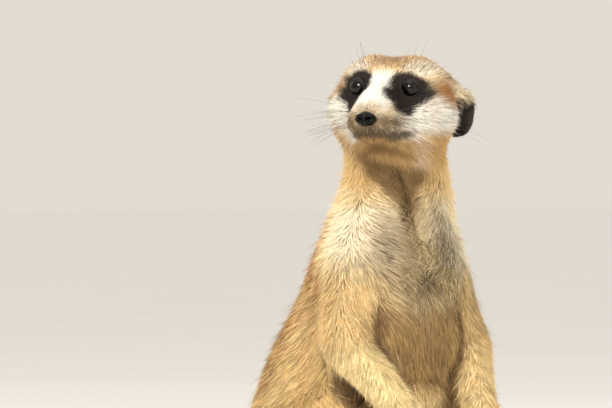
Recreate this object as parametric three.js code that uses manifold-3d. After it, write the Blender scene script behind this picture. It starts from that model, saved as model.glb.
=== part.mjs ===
// A meerkat sitting upright on its haunches, looking over its right shoulder, its arms hanging
// in front of its belly.
//
// Units are millimetres. +Z is up, -Y is the way the chest faces and +X is the animal's left.
// The origin is the middle of the seat, where the rump rests on the floor.
//
// The body is described as one field: a function of a point that is negative inside the animal
// and grows by about a millimetre for each millimetre outwards. Round cones and ellipsoids make
// it, and they melt into one another. Each sub-part is the surface of that field inside a box,
// meshed at a pitch that suits its size, and parted from its neighbours by thin cuts.

import * as THREE from 'three';
import { mergeVertices } from 'three/addons/utils/BufferGeometryUtils.js';
import Module from 'manifold-3d';

const wasm = await Module();
wasm.setup();

// ---------------------------------------------------------------------------------------------
// Driving dimensions
// ---------------------------------------------------------------------------------------------

const CUT = 0.3; // width of the cuts between sub-parts
const FLOOR = 0; // height that the rump, the feet and the tail rest at

// Sections of the neck and trunk from the seat up: height, how far back the middle lies, half
// the width, half the depth.
const TRUNK_SECTIONS = [
  [-8, 6, 20, 18],
  [0, 7, 31, 31],
  [14, 6, 42, 44],
  [34, 3, 49, 53],
  [60, -1, 53, 57],
  [80, -6, 51, 57],
  [99, -13, 46, 54],
  [118, -21, 41, 46],
  [138, -27, 38.5, 37.5],
  [157, -30.5, 34, 30],
  [176, -35, 27.5, 26.5],
  [206, -36, 25, 25],
];
const NECK_TOP = [0, -33, 192]; // a point on the cut between head and neck
const NECK_TOP_TILT = 0.28; // rise of that cut, per unit backwards
const COLLAR_HEIGHT = 160;
const WAIST_HEIGHT = 104;

// Head: where its own origin lies, between the ears at the height of the eyes, and how it turns.
const HEAD_ORIGIN = [0, -36.4, 217];
const HEAD_TURN = -47.5; // degrees about the vertical, to the animal's right
const HEAD_LIFT = 5; // degrees, muzzle up
const HEAD_TILT = 1.6; // degrees, its right side raised

const EYE_RADIUS = 5;
const EYE_CENTRE = { side: 12.4, ahead: 21.4, up: 1.5 };
const NOSE_CENTRE = { ahead: 50.5, up: -14.8 };
const NOSE_RADII = [5.4, 4.6, 4];
const EAR_CENTRE = { side: 32, ahead: -8, up: -8 };
const EAR_HEIGHT = 22;

// Limb joints: [x, y, z]. The right arm is a little further out than the left.
const LIMBS = {
  right: {
    shoulder: [-27, -37, 136],
    elbow: [-38, -51, 97],
    wrist: [-17, -86, 57],
    hip: [-30, 6, 42],
    knee: [-39, -42, 61],
    ankle: [-43, -24, 13],
    toes: [-41, -86, 4],
  },
  left: {
    shoulder: [23, -35, 134],
    elbow: [34, -43, 96],
    wrist: [24, -78, 57],
    hip: [30, 6, 42],
    knee: [34, -43, 60],
    ankle: [40, -24, 13],
    toes: [38, -86, 4],
  },
};
const SHOULDER_RADIUS = 14;
const ELBOW_RADIUS = 12.5;
const WRIST_RADIUS = 8.8;
const HIP_RADIUS = 30;
const KNEE_RADIUS = 17.5;
const ANKLE_RADIUS = 9;
const HAND_DIRECTION = [0.1, -0.33, -0.94]; // of the right hand
const DIGITS = 4;
const HAND = { palm: 18, width: 15, thickness: 10, finger: 13, fingerRadius: 2.8, claw: 11 };
const FOOT = { width: 17, toe: 15, toeRadius: 3.7, claw: 8 };

// The tail's middle line on the floor, from inside the rump to the tip, with its radii.
const TAIL_LINE = [
  [0, 44, 27],
  [3, 69, 13],
  [15, 90, 8.4],
  [36, 102, 7.2],
  [60, 101, 6.4],
  [80, 88, 5.6],
  [92, 68, 4.8],
  [97, 45, 4.2],
  [97, 24, 3.6],
];
const TAIL_ROOT_RADIUS = 15;
const TAIL_RADIUS = 10;
const TAIL_TIP_RADIUS = 4;

// Widths of the fillets where forms melt together.
const BLEND = {
  skull: 7,
  cheek: 6,
  socket: 4,
  ear: 2.5,
  neck: 8,
  trunk: 9,
  limb: 6,
  sole: 5,
  wrist: 3,
  digit: 1.5,
  tail: 1,
};

// Radii of the sleeves that part the limbs from the trunk, wide enough for the fillets too.
const SLEEVE = {
  upperArm: 19,
  forearm: 13.5,
  thigh: 29,
  shank: 17,
  foot: 10.2,
};

// Claws: how deep the root is sunk, the root's radius on each paw and the tip's.
const CLAW_SUNK = 3;
const CLAW_ROOT_RADIUS = { hand: 1.2, foot: 1.3 };
const CLAW_TIP_RADIUS = 0.4;
const CLAW_SIDES = 5;

// Mesh pitches, by sub-part.
const PITCH = {
  head: 5.8,
  nose: 2.6,
  ear: 3.8,
  neck: 10,
  trunk: 14.4,
  thigh: 12.5,
  limb: 8.2,
  hand: 4.3,
  foot: 5.2,
  tailRoot: 8,
  tail: 6.8,
};

// Boxes that hold the head, the trunk and the tail: the lowest and the highest corner.
const ROOM = {
  head: [[-48, -96, 176], [58, 14, 246]],
  neck: [[-50, -80, 140], [50, 15, 216]],
  chest: [[-66, -88, 80], [66, 62, 178]],
  belly: [[-80, -80, -14], [80, 90, 122]],
  tail_base: [[-30, 38, -20], [60, 125, 60]],
  tail_middle: [[10, 60, -8], [110, 125, 20]],
  tail_tip: [[70, 6, -8], [112, 112, 16]],
};
const THIGH_ROOM = { inner: 2, outer: 84, front: -72, back: 50, low: -6, high: 96 };
// Room left round the joints or the middle of a smaller sub-part.
const MARGIN = { nose: 10, ear: 19, upperArm: 32, forearm: 24, hand: 14, shank: 26, foot: 16 };

const COLOURS = {
  coat: 0xcfb58a,
  face: 0xded2bb,
  dark: 0x2b2420,
  eye: 0x0d0a08,
};

// ---------------------------------------------------------------------------------------------
// Fields
// ---------------------------------------------------------------------------------------------

const vector = (list) => new THREE.Vector3(...list);

// An ellipsoid's field is close to its true distance near the surface.
function ellipsoid(centre, radii) {
  const middle = vector(centre);
  const size = vector(radii);
  const sizeSquared = size.clone().multiply(size);
  const offset = new THREE.Vector3();
  return (point) => {
    offset.subVectors(point, middle).divide(size);
    const near = offset.length();
    offset.subVectors(point, middle).divide(sizeSquared);
    return near * (near - 1) / Math.max(offset.length(), 1e-6);
  };
}

// Two balls and the cone that is tangent to both.
function roundCone(start, end, startRadius, endRadius) {
  const from = vector(start);
  const along = vector(end).sub(from);
  const length = along.length();
  along.divideScalar(length);
  const sine = (startRadius - endRadius) / length;
  const cosine = Math.sqrt(1 - sine * sine);
  const offset = new THREE.Vector3();
  return (point) => {
    offset.subVectors(point, from);
    const height = offset.dot(along);
    const width = Math.sqrt(Math.max(offset.lengthSq() - height * height, 0));
    const side = height * cosine - width * sine;
    if (side < 0) return Math.hypot(width, height) - startRadius;
    if (side > length * cosine) return Math.hypot(width, height - length) - endRadius;
    return width * cosine + height * sine - startRadius;
  };
}

// Joins fields with a fillet about as wide as the blend.
function melt(blend, ...fields) {
  return (point) => {
    let result = fields[0](point);
    for (let i = 1; i < fields.length; i += 1) {
      const next = fields[i](point);
      const overlap = Math.max(blend - Math.abs(result - next), 0) / blend;
      result = Math.min(result, next) - overlap * overlap * blend / 4;
    }
    return result;
  };
}

// Takes one field out of another with a soft edge.
function hollow(blend, field, cutter) {
  const inverse = melt(blend, (point) => -field(point), cutter);
  return (point) => -inverse(point);
}

// Evaluates a field in a frame of its own.
function placed(matrix, field) {
  const inverse = matrix.clone().invert();
  const local = new THREE.Vector3();
  return (point) => field(local.copy(point).applyMatrix4(inverse));
}

// A smooth curve through a table's rows: gives the columns after the first at a height.
function sectionAt(rows, height) {
  const last = rows.length - 2;
  let row = 0;
  while (row < last && height > rows[row + 1][0]) row += 1;
  const [low, high] = [rows[row], rows[row + 1]];
  const before = rows[Math.max(row - 1, 0)];
  const after = rows[Math.min(row + 2, rows.length - 1)];
  const step = high[0] - low[0];
  const t = THREE.MathUtils.clamp((height - low[0]) / step, 0, 1);
  return low.slice(1).map((value, i) => {
    const k = i + 1;
    const startSlope = (high[k] - before[k]) / (high[0] - before[0]) * step;
    const endSlope = (after[k] - low[k]) / (after[0] - low[0]) * step;
    const rise = high[k] - low[k];
    return value + t * (startSlope + t * (3 * rise - 2 * startSlope - endSlope
      + t * (startSlope + endSlope - 2 * rise)));
  });
}

function trunkField(point) {
  const [middle, halfWidth, halfDepth] = sectionAt(TRUNK_SECTIONS, point.z);
  const x = point.x / halfWidth;
  const y = (point.y - middle) / halfDepth;
  const near = Math.hypot(x, y);
  const slope = Math.hypot(x / halfWidth, y / halfDepth);
  const wall = near * (near - 1) / Math.max(slope, 1e-6);
  const [bottom] = TRUNK_SECTIONS[0];
  const [top] = TRUNK_SECTIONS[TRUNK_SECTIONS.length - 1];
  return Math.max(wall, bottom - point.z, point.z - top);
}

// ---------------------------------------------------------------------------------------------
// Head, in its own frame: +X is its left, -Y the way the muzzle points, +Z up
// ---------------------------------------------------------------------------------------------

const headGroup = new THREE.Group();
headGroup.position.set(...HEAD_ORIGIN);
headGroup.rotation.set(
  ...[-HEAD_LIFT, HEAD_TILT, HEAD_TURN].map(THREE.MathUtils.degToRad), 'ZYX');
headGroup.updateMatrixWorld(true);
const headMatrix = headGroup.matrixWorld;

// A point in the head's frame, from how far it is to the left, ahead and up.
const inHead = (side, ahead, up) => [side, -ahead, up];

function headField() {
  const skull = ellipsoid(inHead(0, -6, -1), [28.5, 27, 20]);
  const forehead = ellipsoid(inHead(0, 11, 3), [22.5, 16.5, 14.5]);
  const muzzle = roundCone(inHead(0, 18, -8), inHead(0, 43, -15), 15, 7.6);
  const bridge = roundCone(inHead(0, 18, 1), inHead(0, 45, -11), 8.5, 4.5);
  const jaw = roundCone(inHead(0, 0, -18), inHead(0, 36, -22.5), 14, 5.6);
  const throat = ellipsoid(inHead(0, 6, -22), [21, 22, 11]);
  let field = melt(BLEND.skull, skull, forehead, muzzle, bridge, jaw, throat);
  for (const side of [-1, 1]) {
    const brow = ellipsoid(inHead(13.6 * side, 5, 6.6), [12, 13, 10.6]);
    const cheek = ellipsoid(inHead(16 * side, 9, -10), [14.5, 19, 12.5]);
    const ruff = ellipsoid(inHead(20.5 * side, -1, -10.5), [13, 16, 13]);
    const lip = ellipsoid(inHead(6.2 * side, 36.5, -17.5), [7.2, 10, 6]);
    field = melt(BLEND.cheek, field, brow, cheek, ruff, lip);
    const eye = EYE_CENTRE;
    const socket = ellipsoid(inHead((eye.side + 3.4) * side, eye.ahead + 6.4, eye.up), [7, 6, 6]);
    field = hollow(BLEND.socket, field, socket);
  }
  const nose = ellipsoid(inHead(0, NOSE_CENTRE.ahead, NOSE_CENTRE.up), NOSE_RADII);
  field = melt(2, field, nose);
  for (const side of [-1, 1]) {
    const nostril = roundCone(
      inHead(2.1 * side, NOSE_CENTRE.ahead + 5, NOSE_CENTRE.up + 0.4),
      inHead(4.6 * side, NOSE_CENTRE.ahead + 2, NOSE_CENTRE.up + 1.4), 1.1, 0.7);
    field = hollow(0.8, field, nostril);
  }
  return field;
}

// An ear is a low crescent, cupped forwards, that stands out from the side of the head.
function earField(side) {
  const half = EAR_HEIGHT / 2;
  const { side: out, ahead, up } = EAR_CENTRE;
  const shell = ellipsoid(inHead(out * side, ahead, up), [6.2, 5, half]);
  const cup = ellipsoid(inHead((out + 1.2) * side, ahead + 4.6, up), [3.6, 4.4, half * 0.72]);
  return hollow(1.2, shell, cup);
}

const headLocal = headField();
const earsLocal = { left: earField(1), right: earField(-1) };
const wholeHead = placed(headMatrix, melt(BLEND.ear, headLocal, earsLocal.left, earsLocal.right));

// ---------------------------------------------------------------------------------------------
// Limbs and tail
// ---------------------------------------------------------------------------------------------

// A frame whose +Z runs along a direction and whose +Y leans towards another one.
function frameAlong(origin, direction, towards) {
  const z = vector(direction).normalize();
  const x = vector(towards).cross(z).normalize();
  const y = z.clone().cross(x);
  return new THREE.Matrix4().makeBasis(x, y, z).setPosition(...origin);
}

// Where each digit starts and ends, in a paw's frame, side by side and fanned a little.
function digitLines(width, start, length, drop) {
  return Array.from({ length: DIGITS }, (_, i) => {
    const place = (i - (DIGITS - 1) / 2) / (DIGITS / 2);
    const short = Math.abs(place) * length * 0.22;
    return {
      from: vector([place * width * 0.4, drop, start]),
      to: vector([place * width * 0.56, drop, start + length - short]),
    };
  });
}

const handFrame = (side) => {
  const [inwards, ahead, up] = HAND_DIRECTION;
  const direction = [side === 'right' ? inwards : -inwards, ahead, up];
  return frameAlong(LIMBS[side].wrist, direction, [0, 1, 0]);
};
const handDigits = digitLines(HAND.width, HAND.palm * 0.72, HAND.finger, 0.5);

function handField(side) {
  const { palm, width, thickness, fingerRadius } = HAND;
  const pad = ellipsoid([0, 0, palm * 0.5], [width / 2, thickness / 2, palm * 0.62]);
  const wrist = roundCone([0, 0, -4], [0, 0, palm * 0.5], WRIST_RADIUS - 0.5, thickness / 2);
  const fingers = handDigits.map(({ from, to }) => (
    roundCone(from.toArray(), to.toArray(), fingerRadius + 0.3, fingerRadius)));
  return placed(handFrame(side), melt(BLEND.digit, melt(BLEND.wrist, pad, wrist), ...fingers));
}

// A foot's frame starts at the heel on the floor, +Z to the toes and +Y down.
const footFrame = (side) => {
  const { ankle, toes } = LIMBS[side];
  const heel = [ankle[0], ankle[1] + 3, FLOOR];
  return frameAlong(heel, [toes[0] - heel[0], toes[1] - heel[1], 0], [0, 0, -1]);
};
const footLength = Math.abs(LIMBS.right.toes[1] - LIMBS.right.ankle[1]) + 3;
const footDigits = digitLines(FOOT.width, footLength - FOOT.toe - 5, FOOT.toe, -3.2);

function footField(side) {
  const ball = footLength - FOOT.toe - 6;
  const heel = ellipsoid([0, -7, 3], [7.5, 8.4, 9]);
  const sole = roundCone([0, -6.6, 4], [0, -5, ball], 7.6, 6);
  const pad = ellipsoid([0, -4.4, ball], [FOOT.width / 2, 5.4, 9]);
  const toes = footDigits.map(({ from, to }) => (
    roundCone(from.toArray(), to.toArray(), FOOT.toeRadius + 0.4, FOOT.toeRadius)));
  return placed(footFrame(side), melt(BLEND.digit, melt(BLEND.sole, heel, sole, pad), ...toes));
}

const tailCurve = new THREE.CatmullRomCurve3(TAIL_LINE.map(vector));
const TAIL_STEPS = 24;
const TAIL_TAPER_START = 0.16; // where the root's swelling ends, along the tail

function tailRadius(t) {
  if (t < TAIL_TAPER_START) {
    return THREE.MathUtils.lerp(TAIL_ROOT_RADIUS, TAIL_RADIUS, t / TAIL_TAPER_START);
  }
  const rest = (t - TAIL_TAPER_START) / (1 - TAIL_TAPER_START);
  return THREE.MathUtils.lerp(TAIL_RADIUS, TAIL_TIP_RADIUS, rest);
}

// The stretch of tail between two places along it, as a chain of round cones.
function tailField(start, end) {
  const links = [];
  for (let i = 0; i < TAIL_STEPS; i += 1) {
    const [t0, t1] = [i / TAIL_STEPS, (i + 1) / TAIL_STEPS];
    if (t1 > start && t0 < end) {
      const [a, b] = [tailCurve.getPointAt(t0), tailCurve.getPointAt(t1)];
      links.push(roundCone(a.toArray(), b.toArray(), tailRadius(t0), tailRadius(t1)));
    }
  }
  return melt(BLEND.tail, ...links);
}

const limbFields = Object.fromEntries(Object.entries(LIMBS).map(([side, at]) => [side, {
  upperArm: roundCone(at.shoulder, at.elbow, SHOULDER_RADIUS, ELBOW_RADIUS),
  forearm: roundCone(at.elbow, at.wrist, ELBOW_RADIUS, WRIST_RADIUS),
  hand: handField(side),
  thigh: roundCone(at.hip, at.knee, HIP_RADIUS, KNEE_RADIUS),
  shank: roundCone(at.knee, at.ankle, KNEE_RADIUS - 3, ANKLE_RADIUS),
  foot: footField(side),
}]));

const armField = (side) => {
  const { upperArm, forearm, hand } = limbFields[side];
  return melt(BLEND.wrist, melt(BLEND.limb, upperArm, forearm), hand);
};
const legField = (side) => {
  const { thigh, shank, foot } = limbFields[side];
  return melt(BLEND.limb, thigh, shank, foot);
};
const torsoField = melt(
  BLEND.trunk, trunkField, limbFields.left.thigh, limbFields.right.thigh,
  limbFields.left.upperArm, limbFields.right.upperArm);
const neckField = melt(BLEND.neck, torsoField, wholeHead);
const rumpField = melt(BLEND.trunk, torsoField, tailField(0, 0.3));

// ---------------------------------------------------------------------------------------------
// Meshing and cutting
// ---------------------------------------------------------------------------------------------

function gradientAt(field, point, step = 0.05) {
  const value = field(point);
  const probe = point.clone();
  return vector(['x', 'y', 'z'].map((axis) => {
    probe[axis] += step;
    const rise = (field(probe) - value) / step;
    probe[axis] = point[axis];
    return rise;
  }));
}

// Moves a point onto the field's surface, by no more than the limit.
function settle(field, point, limit) {
  const start = point.clone();
  for (let i = 0; i < 4; i += 1) {
    const gradient = gradientAt(field, point);
    const steepness = Math.max(gradient.lengthSq(), 0.2);
    point.addScaledVector(gradient, -field(point) / steepness);
  }
  return start.add(point.clone().sub(start).clampLength(0, limit));
}

// Meshes a field's surface inside a box: one vertex in each cell that the surface crosses, and
// one quadrilateral over each grid edge that it crosses. The box's walls count as outside.
function surfaceOf(field, low, high, pitch) {
  const counts = low.map((value, i) => Math.ceil((high[i] - value) / pitch) + 1);
  const [nx, ny, nz] = counts;
  const at = (i, j, k) => (k * ny + j) * nx + i;
  const corner = (i, j, k) => vector([low[0] + i * pitch, low[1] + j * pitch, low[2] + k * pitch]);
  const onWall = (i, j, k) => [i, j, k].some((n, axis) => n === 0 || n === counts[axis] - 1);
  const values = new Float64Array(nx * ny * nz);
  for (let k = 0; k < nz; k += 1) {
    for (let j = 0; j < ny; j += 1) {
      for (let i = 0; i < nx; i += 1) {
        const value = field(corner(i, j, k));
        values[at(i, j, k)] = onWall(i, j, k) ? Math.max(value, pitch * 0.1) : value;
      }
    }
  }

  const positions = [];
  const vertexOf = new Map();
  const steps = [0, 1].flatMap((c) => [0, 1].flatMap((b) => [0, 1].map((a) => [a, b, c])));
  const edges = steps.flatMap((a, i) => steps.slice(i + 1).map((b) => [a, b]))
    .filter(([a, b]) => a.reduce((sum, n, axis) => sum + Math.abs(n - b[axis]), 0) === 1);
  const cellVertex = (i, j, k) => {
    const key = at(i, j, k);
    if (vertexOf.has(key)) return vertexOf.get(key);
    const sum = new THREE.Vector3();
    let crossings = 0;
    for (const [a, b] of edges) {
      const first = values[at(i + a[0], j + a[1], k + a[2])];
      const second = values[at(i + b[0], j + b[1], k + b[2])];
      if ((first < 0) !== (second < 0)) {
        const t = first / (first - second);
        const start = corner(i + a[0], j + a[1], k + a[2]);
        sum.add(start.lerp(corner(i + b[0], j + b[1], k + b[2]), t));
        crossings += 1;
      }
    }
    let vertex = sum.divideScalar(crossings);
    const isInner = ![i, j, k].some((n, axis) => n === 0 || n >= counts[axis] - 2);
    if (isInner) vertex = settle(field, vertex, pitch * 0.45);
    positions.push(vertex);
    vertexOf.set(key, positions.length - 1);
    return positions.length - 1;
  };

  const indices = [];
  const addQuad = (quad, flipped) => {
    const [a, b, c, d] = flipped ? [...quad].reverse() : quad;
    const first = positions[a].distanceToSquared(positions[c]);
    const second = positions[b].distanceToSquared(positions[d]);
    if (first < second) indices.push(a, b, c, a, c, d);
    else indices.push(a, b, d, b, c, d);
  };
  for (let k = 0; k < nz - 1; k += 1) {
    for (let j = 0; j < ny - 1; j += 1) {
      for (let i = 0; i < nx - 1; i += 1) {
        const inside = values[at(i, j, k)] < 0;
        if (j && k && inside !== values[at(i + 1, j, k)] < 0) {
          addQuad([cellVertex(i, j - 1, k - 1), cellVertex(i, j, k - 1),
            cellVertex(i, j, k), cellVertex(i, j - 1, k)], !inside);
        }
        if (i && k && inside !== values[at(i, j + 1, k)] < 0) {
          addQuad([cellVertex(i - 1, j, k - 1), cellVertex(i - 1, j, k),
            cellVertex(i, j, k), cellVertex(i, j, k - 1)], !inside);
        }
        if (i && j && inside !== values[at(i, j, k + 1)] < 0) {
          addQuad([cellVertex(i - 1, j - 1, k), cellVertex(i, j - 1, k),
            cellVertex(i, j, k), cellVertex(i - 1, j, k)], !inside);
        }
      }
    }
  }
  const geometry = new THREE.BufferGeometry();
  geometry.setAttribute('position', new THREE.Float32BufferAttribute(
    positions.flatMap((p) => p.toArray()), 3));
  geometry.setIndex(indices);
  return geometry;
}

function toSolid(geometry) {
  let plain = geometry.clone();
  plain.deleteAttribute('normal');
  plain.deleteAttribute('uv');
  plain = mergeVertices(plain, 1e-4);
  return new wasm.Manifold(new wasm.Mesh({
    numProp: 3,
    vertProperties: new Float32Array(plain.attributes.position.array),
    triVerts: new Uint32Array(plain.index.array),
  }));
}

function toGeometry(solid) {
  const mesh = solid.getMesh();
  const geometry = new THREE.BufferGeometry();
  geometry.setAttribute('position', new THREE.BufferAttribute(mesh.vertProperties, 3));
  geometry.setIndex(new THREE.BufferAttribute(mesh.triVerts, 1));
  return geometry;
}

// Everything on the side of a plane that its normal points to, half a cut away from it.
const REACH = 400;
function beyond(point, normal) {
  const frame = frameAlong(point, normal, Math.abs(normal[2]) > 0.8 ? [0, 1, 0] : [0, 0, 1]);
  const block = new THREE.BoxGeometry(REACH, REACH, REACH);
  block.translate(0, 0, (REACH + CUT) / 2);
  return toSolid(block.applyMatrix4(frame));
}
const reversed = (normal) => normal.map((n) => -n);

// A capsule round a limb. Its grown twin, a cut larger, is what the neighbours lose.
function sleeve(start, end, radius, grown = 0) {
  const along = vector(end).sub(vector(start));
  const capsule = new THREE.CapsuleGeometry(radius + grown, along.length(), 1, 7);
  capsule.rotateX(Math.PI / 2);
  capsule.translate(0, 0, along.length() / 2);
  return toSolid(capsule.applyMatrix4(frameAlong(start, along.toArray(), [0.3, 1, 0.1])));
}

function ball(matrix, centre, radii, grown = 0, rings = 8) {
  const sphere = new THREE.SphereGeometry(1, rings * 2 - 2, rings);
  sphere.scale(...radii.map((r) => r + grown));
  sphere.translate(...centre);
  return toSolid(sphere.applyMatrix4(matrix));
}

// Whether some edge has more than its two triangles, as where two folds cross one grid cell.
function isPinched(geometry) {
  const seen = new Set();
  const { array } = geometry.index;
  for (let i = 0; i < array.length; i += 3) {
    for (let n = 0; n < 3; n += 1) {
      const edge = `${array[i + n]},${array[i + (n + 1) % 3]}`;
      if (seen.has(edge)) return true;
      seen.add(edge);
    }
  }
  return false;
}

// A field's solid inside a box. The grid shifts a little until no edge is pinched.
function flesh(field, low, high, pitch) {
  for (let shift = 0; shift < 1; shift += 0.09) {
    const start = low.map((n, axis) => n - shift * pitch * (axis + 1) / 3);
    const geometry = surfaceOf(field, start, high, pitch);
    if (!isPinched(geometry)) return toSolid(geometry);
  }
  throw new Error('the field is too fine for its pitch');
}

const within = (solid, ...regions) => regions.reduce((rest, region) => rest.intersect(region), solid);
const without = (solid, ...regions) => regions.reduce((rest, region) => rest.subtract(region), solid);

const aboveFloor = beyond([0, 0, FLOOR - CUT / 2], [0, 0, 1]);

// ---------------------------------------------------------------------------------------------
// Sub-parts
// ---------------------------------------------------------------------------------------------

const materials = Object.fromEntries(Object.entries(COLOURS).map(([name, color]) => [
  name, new THREE.MeshStandardMaterial({ color, roughness: name === 'eye' ? 0.1 : 0.9, metalness: 0 }),
]));

const meerkat = new THREE.Group();
meerkat.name = 'meerkat';
meerkat.add(headGroup);

function addMesh(parent, name, geometry, material) {
  const mesh = new THREE.Mesh(geometry, material);
  mesh.name = name;
  parent.add(mesh);
  return mesh;
}
const addSolid = (name, solid, material) => addMesh(meerkat, name, toGeometry(solid), material);

// The cuts between neighbours along the trunk.
const neckTopNormal = vector([0, -NECK_TOP_TILT, 1]).normalize().toArray();
const collar = [0, -30, COLLAR_HEIGHT];
const collarNormal = vector([0, -0.2, 1]).normalize().toArray();
const waist = [0, -15, WAIST_HEIGHT];
const waistNormal = vector([0, -0.25, 1]).normalize().toArray();
const TAIL_CUTS = [0.13, 0.42, 0.72];
const tailCuts = TAIL_CUTS.map((t) => [
  tailCurve.getPointAt(t).toArray(), tailCurve.getTangentAt(t).toArray()]);

function armSleeves(side, grown) {
  const { shoulder, elbow, wrist } = LIMBS[side];
  return [
    sleeve(shoulder, elbow, SLEEVE.upperArm, grown), sleeve(elbow, wrist, SLEEVE.forearm, grown)];
}
function legSleeves(side, grown) {
  const { hip, knee, ankle } = LIMBS[side];
  const out = side === 'left' ? 1 : -1;
  const pelvis = [hip[0] + 14 * out, hip[1] + 4, hip[2]];
  const front = [knee[0] + 2 * out, knee[1] - 4, knee[2] - 4];
  return [
    sleeve(pelvis, front, SLEEVE.thigh, grown), sleeve(knee, ankle, SLEEVE.shank, grown)];
}
function footSleeve(side, grown) {
  const { ankle, toes } = LIMBS[side];
  return sleeve([ankle[0], ankle[1], 7], [toes[0], toes[1] + 24, 6], SLEEVE.foot, grown);
}

// Where two limb lines meet: a point and the normal of the plane that halves their angle.
function miter(start, joint, end) {
  const inTo = vector(joint).sub(vector(start)).normalize();
  const outOf = vector(end).sub(vector(joint)).normalize();
  return [joint, inTo.add(outOf).normalize().toArray()];
}

function addHead() {
  const field = melt(BLEND.neck, wholeHead, trunkField);
  const eyes = ['left', 'right'].map((side) => {
    const out = side === 'left' ? 1 : -1;
    const centre = inHead(EYE_CENTRE.side * out, EYE_CENTRE.ahead, EYE_CENTRE.up);
    const eye = addMesh(
      headGroup, `eye_${side}`, new THREE.SphereGeometry(EYE_RADIUS, 12, 8), materials.eye);
    eye.position.set(...centre);
    return ball(headMatrix, centre, [EYE_RADIUS, EYE_RADIUS, EYE_RADIUS], CUT);
  });
  const noseRegion = (grown) => ball(
    headMatrix, inHead(0, NOSE_CENTRE.ahead + 0.8, NOSE_CENTRE.up), [6.3, 5.2, 4.7], grown, 6);
  const earRegion = (side, grown) => {
    const out = side === 'left' ? 1 : -1;
    const centre = inHead((EAR_CENTRE.side + 2.5) * out, EAR_CENTRE.ahead, EAR_CENTRE.up);
    return ball(headMatrix, centre, [7.5, 9.5, EAR_HEIGHT / 2 + 3], grown, 7);
  };
  const skin = flesh(field, ...ROOM.head, PITCH.head);
  const head = without(
    within(skin, beyond(NECK_TOP, neckTopNormal)), ...eyes, noseRegion(CUT),
    earRegion('left', CUT), earRegion('right', CUT));
  addSolid('head', head, materials.face);

  const tip = vector(inHead(0, NOSE_CENTRE.ahead, NOSE_CENTRE.up)).applyMatrix4(headMatrix);
  const boxRound = (middle, reach) => [
    middle.toArray().map((n) => n - reach), middle.toArray().map((n) => n + reach)];
  const noseFlesh = flesh(field, ...boxRound(tip, MARGIN.nose), PITCH.nose);
  addSolid('nose', within(noseFlesh, noseRegion(0)), materials.dark);
  for (const side of ['left', 'right']) {
    const out = side === 'left' ? 1 : -1;
    const middle = vector(inHead(EAR_CENTRE.side * out, EAR_CENTRE.ahead, EAR_CENTRE.up));
    const box = boxRound(middle.applyMatrix4(headMatrix), MARGIN.ear);
    addSolid(`ear_${side}`, within(flesh(field, ...box, PITCH.ear), earRegion(side, 0)), materials.dark);
  }
}

function addTrunk() {
  const limbs = ['left', 'right'].flatMap((side) => [
    ...armSleeves(side, CUT), ...legSleeves(side, CUT), footSleeve(side, CUT)]);
  const neck = within(
    flesh(neckField, ...ROOM.neck, PITCH.neck),
    beyond(NECK_TOP, reversed(neckTopNormal)), beyond(collar, collarNormal));
  addSolid('neck', without(neck, ...limbs), materials.coat);
  const chest = within(
    flesh(torsoField, ...ROOM.chest, PITCH.trunk),
    beyond(collar, reversed(collarNormal)), beyond(waist, waistNormal));
  addSolid('chest', without(chest, ...limbs), materials.coat);
  const belly = within(
    flesh(rumpField, ...ROOM.belly, PITCH.trunk),
    beyond(waist, reversed(waistNormal)), aboveFloor,
    beyond(tailCuts[0][0], reversed(tailCuts[0][1])));
  addSolid('belly', without(belly, ...limbs), materials.coat);
}

function addTail() {
  const names = ['tail_base', 'tail_middle', 'tail_tip'];
  const spans = [[0, 0.55], [0.3, 0.85], [0.6, 1]];
  names.forEach((name, i) => {
    const stretch = tailField(...spans[i]);
    const field = i === 0 ? melt(BLEND.trunk, torsoField, stretch) : stretch;
    const [point, normal] = tailCuts[i];
    const pitch = i === 0 ? PITCH.tailRoot : PITCH.tail;
    let solid = within(flesh(field, ...ROOM[name], pitch), beyond(point, normal), aboveFloor);
    if (i < names.length - 1) {
      const [end, endNormal] = tailCuts[i + 1];
      solid = within(solid, beyond(end, reversed(endNormal)));
    }
    addSolid(name, solid, name === 'tail_tip' ? materials.dark : materials.coat);
  });
}

// A claw grows along +Z from its root and curls towards +Y.
function clawGeometry(length, rootRadius) {
  const profile = [
    [0, -CLAW_SUNK], [rootRadius, 0.4 - CLAW_SUNK],
    [(rootRadius + CLAW_TIP_RADIUS) * 0.58, length * 0.55],
    [CLAW_TIP_RADIUS, length], [0, length + 0.3],
  ].map((corner) => new THREE.Vector2(...corner));
  const claw = new THREE.LatheGeometry(profile, CLAW_SIDES);
  claw.rotateX(Math.PI / 2);
  const curl = length * 1.2;
  const position = claw.attributes.position;
  const point = new THREE.Vector3();
  for (let i = 0; i < position.count; i += 1) {
    point.fromBufferAttribute(position, i);
    const turn = Math.max(point.z, 0) / curl;
    const reach = curl - point.y;
    const root = Math.min(point.z, 0);
    position.setXYZ(i, point.x, curl - reach * Math.cos(turn), reach * Math.sin(turn) + root);
  }
  return claw;
}

function withClaws(paw, frame, digits, length, rootRadius) {
  return digits.reduce((joined, { from, to }) => {
    const direction = to.clone().sub(from).normalize();
    const claw = clawGeometry(length, rootRadius);
    claw.applyMatrix4(frameAlong(to.toArray(), direction.toArray(), [0, 1, 0]));
    claw.applyMatrix4(frame);
    return joined.add(toSolid(claw));
  }, paw);
}

function boxAround(points, margin) {
  const box = new THREE.Box3().setFromPoints(points.map(vector)).expandByScalar(margin);
  return [box.min.toArray(), box.max.toArray()];
}

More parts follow.
